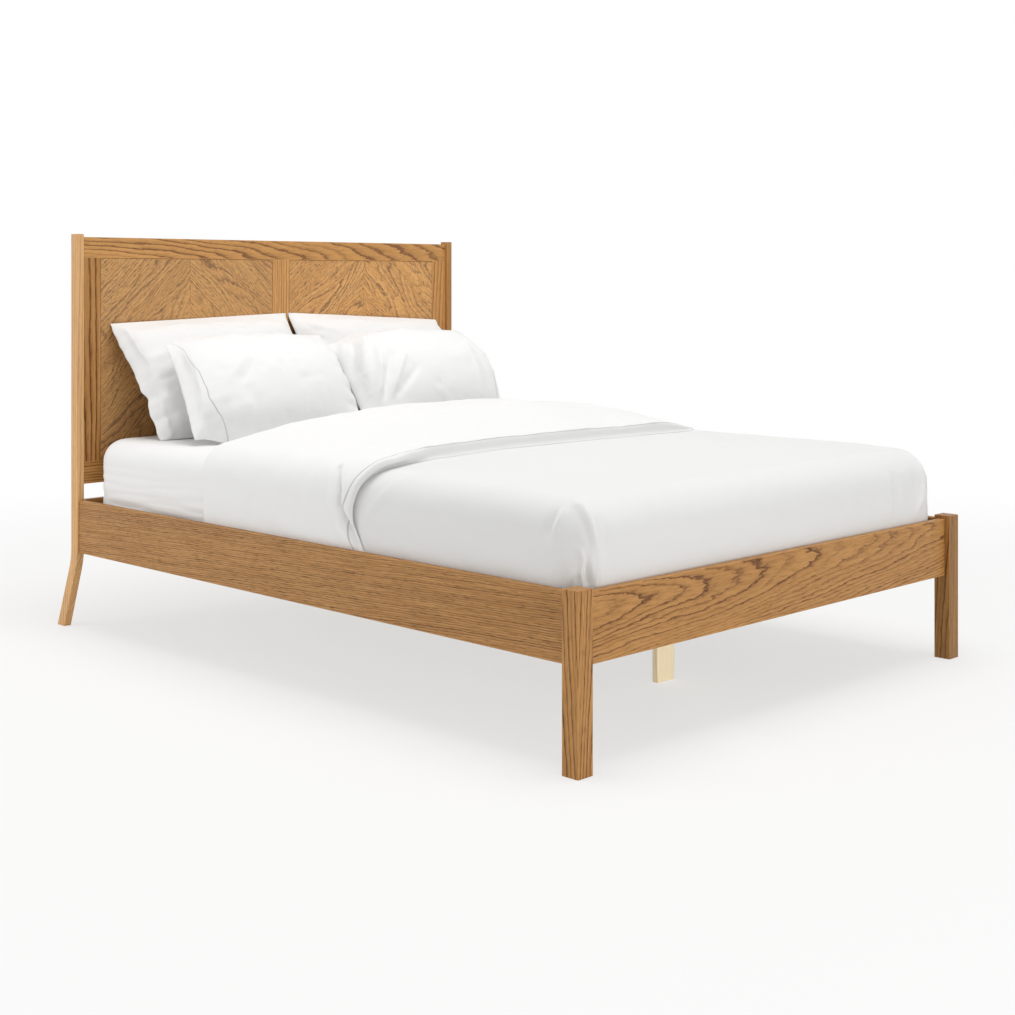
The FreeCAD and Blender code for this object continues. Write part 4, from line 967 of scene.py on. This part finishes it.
class BED_OT_duvet(bpy.types.Operator):
    """Make the duvet: tucked in at the foot and sides, its head end turned back as a thick soft fold"""

    bl_idname = "bed.duvet"
    bl_label = "Duvet"

    def execute(self, context):
        look = context.scene.bed_bedding
        # Closer points down the sides and the foot, where the folds are sharp
        flat_half = 0.58
        drop = np.linspace(flat_half, CLOTH_HALF, 84)
        across = np.concatenate([-drop[::-1], np.linspace(-flat_half, flat_half, 130)[1:-1], drop])
        along = np.linspace(0.03, TURN_HEAD - 0.03 - FOOT_LINE, 150)
        along = np.concatenate([np.linspace(-OVERHANG, 0.03, 84, endpoint=False), along])
        a, b = np.meshgrid(across, along)
        points, out = on_bed(a, b)
        points = points + out * duvet_relief(a, b, look)[..., None]
        flat = np.stack([a, b], axis=-1)
        lower = surface("duvet_tucked", points, grid_faces(*a.shape), flat)
        weld(lower, TINY)
        loft = lower.modifiers.new("Filling", "SOLIDIFY")
        loft.thickness = 2.5 * MM
        loft.offset = -1
        # Washed cotton: a matt weave, a shade greyer than the sheet
        material = cotton_weave("washed_cotton_duvet_face", look.face, 3.0 * MM, 0.2 * MM)
        cover(lower, material, BEDDING_BODY, "white_cotton", "duvet")

        points, flat = turn_down_surface(look)
        upper = surface("duvet_turned_back", points, grid_faces(*flat.shape[:2]), flat)
        weld(upper, TINY)
        # The cover's white reverse, with the flat seam that closes it above the toe
        seam = (0.033, 0.0, 3.4 * MM)
        material = cotton_weave("bleached_cotton_duvet_reverse", look.cotton, 3.0 * MM, 0.2 * MM, seam)
        cover(upper, material, BEDDING_BODY, "white_cotton", "duvet")
        return {"FINISHED"}


PILLOW_HEM = 0.004
PILLOW_TALL = 0.195
PILLOW_GAP = 0.5 * MM
# Rows and columns of points in each panel of a case: v from foot to top, s from closed to open end
ROWS = np.linspace(-1, 1, 61)
COLUMNS = np.linspace(0, 1, 89)
MIDDLE_ROWS = slice(22, 39)
MIDDLE_COLUMNS = slice(30, 59)
# Depths of the folds and of the small wrinkles in the cases, as shares of those given below and in the look
CRUMPLE_SHARE = 1.6
WRINKLE_SHARE = 0.8
# Each pillow: its lean in degrees, front and back depth, the side of its open end (-1 left, 1 right), the
# slack border there, how much longer that end is and how far it is drawn in, its ruffles, the tilt of its
# top and the top's drop at the closed and open corners, how far the open end's foot is drawn in and lifted,
# the share of its height that its case fills, and a seed
PILLOWS = {
    "pillow_rear_left": (
        33, 0.118, 0.022, -1, 0.040, 0.014, 0.016, 0.005, 0.026, (0.0, 0.0), (0.040, 0.010), 1.06, 51,
    ),
    "pillow_rear_right": (
        33, 0.118, 0.022, 1, 0.040, 0.0, 0.012, 0.003, 0.040, (0.0, 0.0), (0.0, 0.0), 1.03, 67,
    ),
    "pillow_front_left": (
        41, 0.124, 0.022, -1, 0.030, -0.016, 0.0, 0.001, 0.0, (0.006, 0.026), (-0.036, 0.046), 0.95, 83,
    ),
    "pillow_front_right": (
        41, 0.124, 0.022, 1, 0.030, 0.0, 0.004, 0.001, 0.0, (0.046, 0.006), (0.0, 0.0), 0.95, 95,
    ),
}
# Folds in each pillow's front: places across and up from its middle, height and half width in metres
PILLOW_FOLDS = {
    "pillow_rear_left": (
        (((-0.31, -0.03), (-0.22, -0.02)), -0.006, 0.010),
        (((-0.31, -0.07), (-0.23, -0.08)), 0.005, 0.010),
        (((-0.31, -0.12), (-0.22, -0.11)), -0.005, 0.010),
        (((-0.30, 0.02), (-0.20, 0.06)), 0.004, 0.014),
        (((-0.22, 0.15), (-0.08, 0.10)), -0.002, 0.012),
    ),
    "pillow_rear_right": (
        (((-0.30, 0.13), (-0.24, 0.06)), -0.004, 0.010),
        (((-0.28, 0.16), (-0.19, 0.10)), 0.003, 0.012),
        (((-0.10, 0.17), (0.05, 0.14)), -0.002, 0.012),
    ),
    "pillow_front_left": (
        (((-0.11, 0.04), (-0.16, -0.01), (-0.207, -0.045)), 0.0035, 0.010),
        (((-0.09, 0.02), (-0.14, -0.03), (-0.18, -0.06)), -0.003, 0.010),
        (((-0.20, -0.09), (-0.215, -0.185)), 0.004, 0.009),
        (((-0.245, -0.10), (-0.25, -0.185)), 0.004, 0.009),
        (((-0.15, -0.10), (-0.17, -0.17)), 0.003, 0.009),
        (((0.02, -0.055), (0.13, -0.04)), -0.002, 0.010),
        (((0.28, -0.02), (0.20, 0.0)), -0.0035, 0.008),
        (((0.285, -0.07), (0.21, -0.06)), -0.0035, 0.008),
        (((0.285, -0.12), (0.22, -0.11)), -0.0035, 0.008),
    ),
    "pillow_front_right": (
        (((-0.25, -0.10), (-0.19, 0.065)), 0.009, 0.009),
        (((-0.235, -0.10), (-0.16, 0.035)), -0.008, 0.009),
        (((-0.215, -0.10), (-0.12, 0.020)), 0.008, 0.009),
        (((-0.20, -0.11), (-0.09, -0.03)), -0.006, 0.011),
        (((-0.275, 0.00), (-0.235, 0.11)), -0.007, 0.009),
        (((-0.255, 0.02), (-0.20, 0.12)), 0.006, 0.009),
        (((-0.285, 0.06), (-0.25, 0.14)), 0.004, 0.008),
        (((0.17, 0.06), (0.16, -0.09)), 0.0025, 0.012),
        (((0.21, 0.05), (0.20, -0.09)), -0.0025, 0.012),
    ),
}


def pillow_panels(half, front, back, open_side, border, seed):
    """Points, faces, flat coordinates and stuffing of a case of two panels sewn at their rims.

    s goes from the closed end 0 to the open end 1 and v from the foot -1 to the top 1. The depth is the
    crown times a rounded hump in both directions, and dies out at the slack border of the open end.
    """
    s, v = np.meshgrid(COLUMNS, ROWS)
    stuffed = 1 - border / (2 * half)
    t = np.clip(s / stuffed, 0, 1) * 2 - 1
    full = np.clip(1 - np.abs(t) ** 2.6, 0, 1) ** 0.6 * np.clip(1 - np.abs(v) ** 2.4, 0, 1) ** 0.7
    x = open_side * (2 * s - 1) * half
    z = PILLOW_TALL * v
    wave = 0.002 * ripple(x, z, seed, 0.04, 0.16) * smooth_step(0, 0.3, full)
    rim = (s == 0) | (s == 1) | (np.abs(v) == 1)
    hem = np.where(rim, 0, 0.5 * PILLOW_HEM)
    number = np.arange(s.size).reshape(s.shape)
    behind = number.copy()
    behind[~rim] = s.size + np.arange((~rim).sum())
    ahead = np.stack([x, -hem - 0.85 * front * full - wave, z], axis=-1)
    astern = np.stack([x, hem + back * full + wave, z], axis=-1)
    points = np.concatenate([ahead.reshape(-1, 3), astern[~rim]])
    quads = grid_faces(*s.shape)
    faces = np.concatenate([quads, behind.ravel()[quads][:, ::-1]])
    flat = np.stack([2 * half * (1 - s), z], axis=-1)
    if open_side < 0:
        faces = faces[:, ::-1]
    both = [np.concatenate([field.ravel(), field[~rim]]) for field in (flat[..., 0], flat[..., 1], s, v)]
    weight = smooth_step(stuffed + 0.05, stuffed - 0.03, both[2])
    return points, faces, np.stack(both[:2], axis=-1), weight, both[2:]


def front_panel(values):
    """Values of a case's points as the grid of its front panel."""
    return values[: ROWS.size * COLUMNS.size].reshape(ROWS.size, COLUMNS.size)


def let_out(at, rows, ends, want, fade):
    """Scale places so that the two sewn rims come out where they should lie, less towards the middle.

    Stuffing draws the rims in. rows is each point's row, ends the places of the rim found in every row,
    want the places it should have, and fade the share of the change at each point.
    """
    gain = np.interp(rows, np.linspace(rows.min(), rows.max(), len(ends)), want / ends)
    return at * (1 + (gain - 1) * fade)


def pillow_depth(y, s, v, front, back):
    """Give a stuffed case its depth: a parabola from foot to head and a fuller curve from end to end.

    The stuffed front is scaled row by row and column by column to those two curves, so that it keeps its
    own unevenness. The back lies flat against what it leans on.
    """
    grid = np.maximum(-front_panel(y), 0)
    tall = grid[:, MIDDLE_COLUMNS].mean(axis=1)
    long = grid[MIDDLE_ROWS].mean(axis=0)
    want_tall = (1 - ROWS**2) ** np.where(ROWS > 0, 1.0, 0.75)
    want_long = (1 - np.abs(2 * COLUMNS - 1) ** 2.8) ** 0.75
    gain = np.interp(v, ROWS, want_tall / np.maximum(tall / tall.max(), 0.03))
    gain = gain * np.interp(s, COLUMNS, want_long / np.maximum(long / long.max(), 0.03))
    ahead = y * gain
    inside = np.clip(8 * (1 - v**2) * s * (1 - s), 0, 1) ** 0.5
    return np.where(y < 0, ahead * front / -ahead.min(), back * np.tanh(y / (2 * back)) * inside)


def pillow_outline(x, z, s, v, half, open_side, longer, drawn, ruffle, tilt, drops, foot, filled, seed):
    """Bring a stuffed case back to its outline: straight rims, a notched open end and dropped corners."""
    notch = np.minimum((1 - ROWS) / 1.25, (1 + ROWS) / 0.75)
    frill = ruffle * ripple(ROWS * PILLOW_TALL, 0 * ROWS, seed + 1, 0.03, 0.09) * np.clip(3 * notch, 0, 1)
    opened = half + longer - drawn * notch - frill - foot[0] * smooth_step(0.8, -1.2, ROWS)
    closed = half - 0.006 * (1 - ROWS**2)
    head = filled * PILLOW_TALL + tilt * (0.5 - COLUMNS)
    head = head - drops[0] * smooth_step(0.26, 0.0, COLUMNS) - drops[1] * smooth_step(0.80, 1.0, COLUMNS)
    base = foot[1] * smooth_step(0.74, 0.95, COLUMNS) - PILLOW_TALL
    x = open_side * x
    grid = front_panel(x)
    x = let_out(x, v, grid[:, -1], opened, smooth_step(0.5, 1.0, s))
    x = let_out(x, v, grid[:, 0], -closed, smooth_step(0.5, 0.0, s))
    grid = front_panel(z)
    z = let_out(z, s, grid[-1], head, smooth_step(0.1, 1.0, v))
    z = let_out(z, s, grid[0], base, smooth_step(-0.1, -1.0, v))
    # Near the rims the cloth lies as on the flat case, so that no stuffing stands out past them
    ends = np.where(s > 0.5, np.interp(v, ROWS, opened), np.interp(v, ROWS, closed)) * (2 * s - 1)
    x = x + (ends - x) * smooth_step(0.75, 0.97, np.abs(2 * s - 1))
    rims = np.where(v > 0, np.interp(s, COLUMNS, head), -np.interp(s, COLUMNS, base)) * v
    z = z + (rims - z) * smooth_step(0.4, 0.9, np.abs(v))
    return open_side * x, z


def inflate(item, weight, frames=20):
    """Swell a case with air pressure where it is stuffed, its cotton a little larger than its form."""
    group = item.vertex_groups.new(name="stuffed")
    for level in np.linspace(0.1, 1, 10):
        group.add(np.nonzero(np.abs(weight - level) <= 0.05)[0].tolist(), float(level), "REPLACE")
    cloth = item.modifiers.new("Cloth", "CLOTH")
    settings = {
        "quality": 5, "mass": 0.25, "tension_stiffness": 25, "compression_stiffness": 25,
        "shear_stiffness": 12, "bending_stiffness": 0.01, "tension_damping": 15,
        "compression_damping": 15, "shear_damping": 10, "bending_damping": 2, "air_damping": 3,
        "use_pressure": True, "uniform_pressure_force": 5, "vertex_group_pressure": "stuffed",
        "shrink_min": -0.025, "shrink_max": -0.025,
    }
    for key, value in settings.items():
        setattr(cloth.settings, key, value)
    cloth.settings.effector_weights.gravity = 0
    cloth.collision_settings.use_collision = False
    cloth.point_cache.frame_start = 1
    cloth.point_cache.frame_end = frames
    for step in range(1, frames + 1):
        bpy.context.scene.frame_set(step)
    made = item.evaluated_get(bpy.context.evaluated_depsgraph_get()).data
    points = np.empty(len(made.vertices) * 3)
    made.vertices.foreach_get("co", points)
    item.modifiers.remove(cloth)
    item.vertex_groups.clear()
    bpy.context.scene.frame_set(1)
    return points.reshape(-1, 3)


class BED_OT_pillows(bpy.types.Operator):
    """Stuff the four pillow cases and lean them on the headboard and on each other"""

    bl_idname = "bed.pillows"
    bl_label = "Pillows"

    def execute(self, context):
        look = context.scene.bed_bedding
        # Cotton pillow cases: the sheet's percale. On the front pair the open end's border has a flat seam
        plain = cotton_weave("bleached_cotton_pillow_case", look.cotton, 3.0 * MM, 0.2 * MM)
        seam = (0.060, -0.17, 1.9 * MM)
        sewn = cotton_weave("bleached_cotton_bordered_case", look.cotton, 3.0 * MM, 0.2 * MM, seam)
        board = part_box("headboard_bottom_rail")[0][1]
        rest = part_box("fitted_sheet")[1][2]
        for node, (lean, front, back, open_side, border, *outline, seed) in PILLOWS.items():
            low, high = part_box(node)
            half = (high[0] - low[0]) / 2
            points, faces, flat, weight, (s, v) = pillow_panels(half, front, back, open_side, border, seed)
            item = surface(f"{node}_case", points, faces, flat)
            points = inflate(item, weight)
            x, y, z = points.T
            x, z = pillow_outline(x, z, s, v, half, open_side, *outline, seed)
            y = pillow_depth(y, s, v, front, back)
            patchy = np.clip(0.3 + ripple(x, z, seed + 5, 0.15, 0.4), 0, 1)
            lines = [(np.array(path), height, width) for path, height, width in PILLOW_FOLDS[node]]
            wrinkles = look.wrinkle * patchy * ripple(x, z, seed + 3, 0.03, 0.11)
            crumple = CRUMPLE_SHARE * folds(np.stack([x, z], axis=-1), lines) + WRINKLE_SHARE * wrinkles
            y = y - crumple * smooth_step(0.0, -0.012, y)
            angle = math.radians(lean)
            turn = (math.cos(angle), math.sin(angle))
            over = high[1] - PILLOW_HEM * turn[0] - PILLOW_TALL * turn[1]
            deep = y * turn[0] + z * turn[1] + over
            tall = -y * turn[1] + z * turn[0]
            tall = tall + low[2] + PILLOW_HEM * turn[1] + PILLOW_TALL * turn[0]
            # The lower half sinks until the foot of the stuffing is pressed flat on the sheet
            foot = np.percentile(tall[s < 0.8], 4)
            tall = tall - max(foot - rest + 0.004, 0) * smooth_step(0.6, -1.0, v)
            deep = -soft_stop(-deep, -(board - PILLOW_GAP), 2 * MM)
            tall = soft_stop(tall, rest + PILLOW_GAP, 3 * MM)
            placed = np.stack([x + (low[0] + high[0]) / 2, deep, tall], axis=-1)
            item.data.vertices.foreach_set("co", placed.astype(np.float32).ravel())
            item.data.update()
            smooth = item.modifiers.new("Cloth", "SUBSURF")
            smooth.levels = 1
            smooth.render_levels = 1
            cover(item, sewn if "front" in node else plain, BEDDING_BODY, "white_cotton", node)
        return {"FINISHED"}


def lamp(scene, name, kind, watts, place, aim, **settings):
    """Add a lamp of one kind and power, turned towards its aim."""
    data = bpy.data.lights.new(name, kind)
    data.energy = watts
    for key, value in settings.items():
        setattr(data, key, value)
    item = bpy.data.objects.new(name, data)
    scene.collection.objects.link(item)
    item.location = place
    item.rotation_euler = (item.location - Vector(aim)).to_track_quat("Z", "Y").to_euler()


def seen_directly(tree):
    """1 for rays from the camera and for mirrored or refracted ones, and 0 for all others."""
    path = add(tree, "LightPath").node.outputs
    seen = maths(tree, "MAXIMUM", path["Is Camera Ray"], path["Is Glossy Ray"])
    return maths(tree, "MAXIMUM", seen, path["Is Transmission Ray"])


FLOOR_REACH = 14
# Distances from the bed's middle between which the floor goes over to white, and how white it is there
FLOOR_FADE = (1.2, 4.0, 0.62, 1.0)
# Each area lamp: its width and height, its place and its aim. The fill is a low strip, so that it also
# reaches the legs under the bed
LAMPS = {
    "key": (3.4, 3.4, (-0.2, -0.6, 5.0), (0.0, 0.0, 0.5)),
    "fill": (2.4, 0.3, (-0.4, -4.3, 0.19), (0.0, -0.4, 0.16)),
    "side": (1.4, 1.4, (-3.5, 2.3, 1.1), (-0.7, 1.0, 0.55)),
}
# A narrow spot passes below the rails and picks out the pale middle leg
SPOT_PLACE = (-1.6, -3.2, 0.12)
SPOT_AIM = (0.0, -0.633, 0.10)
SPOT_CONE = {"spot_size": math.radians(5.5), "spot_blend": 0.3, "shadow_soft_size": 0.03}
# The photograph's camera: level, with its picture shifted, as solved from the bed's edges
CAMERA_PLACE = (-3.1212, -3.1947, 0.9989)
CAMERA_HEADING = math.radians(45.11)
CAMERA_LENS = 57.26
CAMERA_SHIFT = -0.2251


class BED_OT_stage(bpy.types.Operator):
    """Set the floor, the soft studio light and the camera at the photograph's view"""

    bl_idname = "bed.stage"
    bl_label = "Stage"

    def execute(self, context):
        scene = context.scene
        look = scene.bed_stage
        scene.view_settings.view_transform = "Standard"
        mesh = bpy.data.meshes.new("floor")
        plan = [(FLOOR_REACH * x, FLOOR_REACH * y, 0) for x, y in ((-1, -1), (1, -1), (1, 1), (-1, 1))]
        mesh.from_pydata(plan, [], [(0, 1, 2, 3)])
        floor = bpy.data.objects.new("floor", mesh)
        scene.collection.objects.link(floor)
        # Pale matt floor that goes over to plain white away from the bed
        material, tree = blank("studio_floor")
        away = vector(tree, "LENGTH", add(tree, "TexCoord", out="Object"))
        fade = ramp(tree, away, *FLOOR_FADE)
        fade = maths(tree, "MULTIPLY", fade, seen_directly(tree))
        matt = add(tree, "BsdfDiffuse", {"Color": look.floor})
        white = add(tree, "Emission", {"Color": (1, 1, 1, 1), "Strength": 1.0})
        mixed = add(tree, "MixShader", {0: fade, 1: matt, 2: white})
        add(tree, "OutputMaterial", {"Surface": mixed})
        mesh.materials.append(material)

        world = bpy.data.worlds.new("studio")
        scene.world = world
        world.use_nodes = True
        tree = world.node_tree
        tree.nodes.clear()
        level = add(tree, "MapRange", {0: seen_directly(tree), 1: 0.0, 2: 1.0, 3: look.ambient, 4: 1.0})
        back = add(tree, "Background", {"Color": (1, 1, 1, 1), "Strength": level})
        add(tree, "OutputWorld", {"Surface": back})

        for name, (wide, tall, place, aim) in LAMPS.items():
            shape = {"shape": "RECTANGLE", "size": wide, "size_y": tall}
            lamp(scene, name, "AREA", getattr(look, name), place, aim, **shape)
        lamp(scene, "leg_spot", "SPOT", look.leg, SPOT_PLACE, SPOT_AIM, **SPOT_CONE)

        data = bpy.data.cameras.new("camera")
        data.sensor_width = 36
        data.lens = CAMERA_LENS
        data.shift_y = CAMERA_SHIFT
        camera = bpy.data.objects.new("camera", data)
        scene.collection.objects.link(camera)
        camera.location = CAMERA_PLACE
        camera.rotation_euler = (math.pi / 2, 0, -CAMERA_HEADING)
        scene.camera = camera
        return {"FINISHED"}


OPERATORS = (
    BED_OT_oak_frame,
    BED_OT_chevron_slips,
    BED_OT_pine_base,
    BED_OT_fittings,
    BED_OT_webbing,
    BED_OT_mattress,
    BED_OT_fitted_sheet,
    BED_OT_duvet,
    BED_OT_pillows,
    BED_OT_stage,
)
LOOKS = {"bed_oak": OakLook, "bed_pine": PineLook, "bed_bedding": BeddingLook, "bed_stage": StageLook}


class BED_PT_looks(bpy.types.Panel):
    """The bed's pieces, in the order they are made"""

    bl_label = "Wooden bed"
    bl_space_type = "VIEW_3D"
    bl_region_type = "UI"
    bl_category = "Bed"

    def draw(self, context):
        for name, group in LOOKS.items():
            box = self.layout.box()
            for prop in group.__annotations__:
                box.prop(getattr(context.scene, name), prop)
        for operator in OPERATORS:
            self.layout.operator(operator.bl_idname)


def register():
    for name, group in LOOKS.items():
        bpy.utils.register_class(group)
        setattr(bpy.types.Scene, name, bpy.props.PointerProperty(type=group))
    for operator in OPERATORS:
        bpy.utils.register_class(operator)
    bpy.utils.register_class(BED_PT_looks)


def unregister():
    bpy.utils.unregister_class(BED_PT_looks)
    for operator in reversed(OPERATORS):
        bpy.utils.unregister_class(operator)
    for name, group in LOOKS.items():
        delattr(bpy.types.Scene, name)
        bpy.utils.unregister_class(group)


def main():
    """Make every piece in order."""
    register()
    for operator in OPERATORS:
        getattr(bpy.ops.bed, operator.bl_idname.split(".")[1])()


if __name__ == "__main__":
    main()
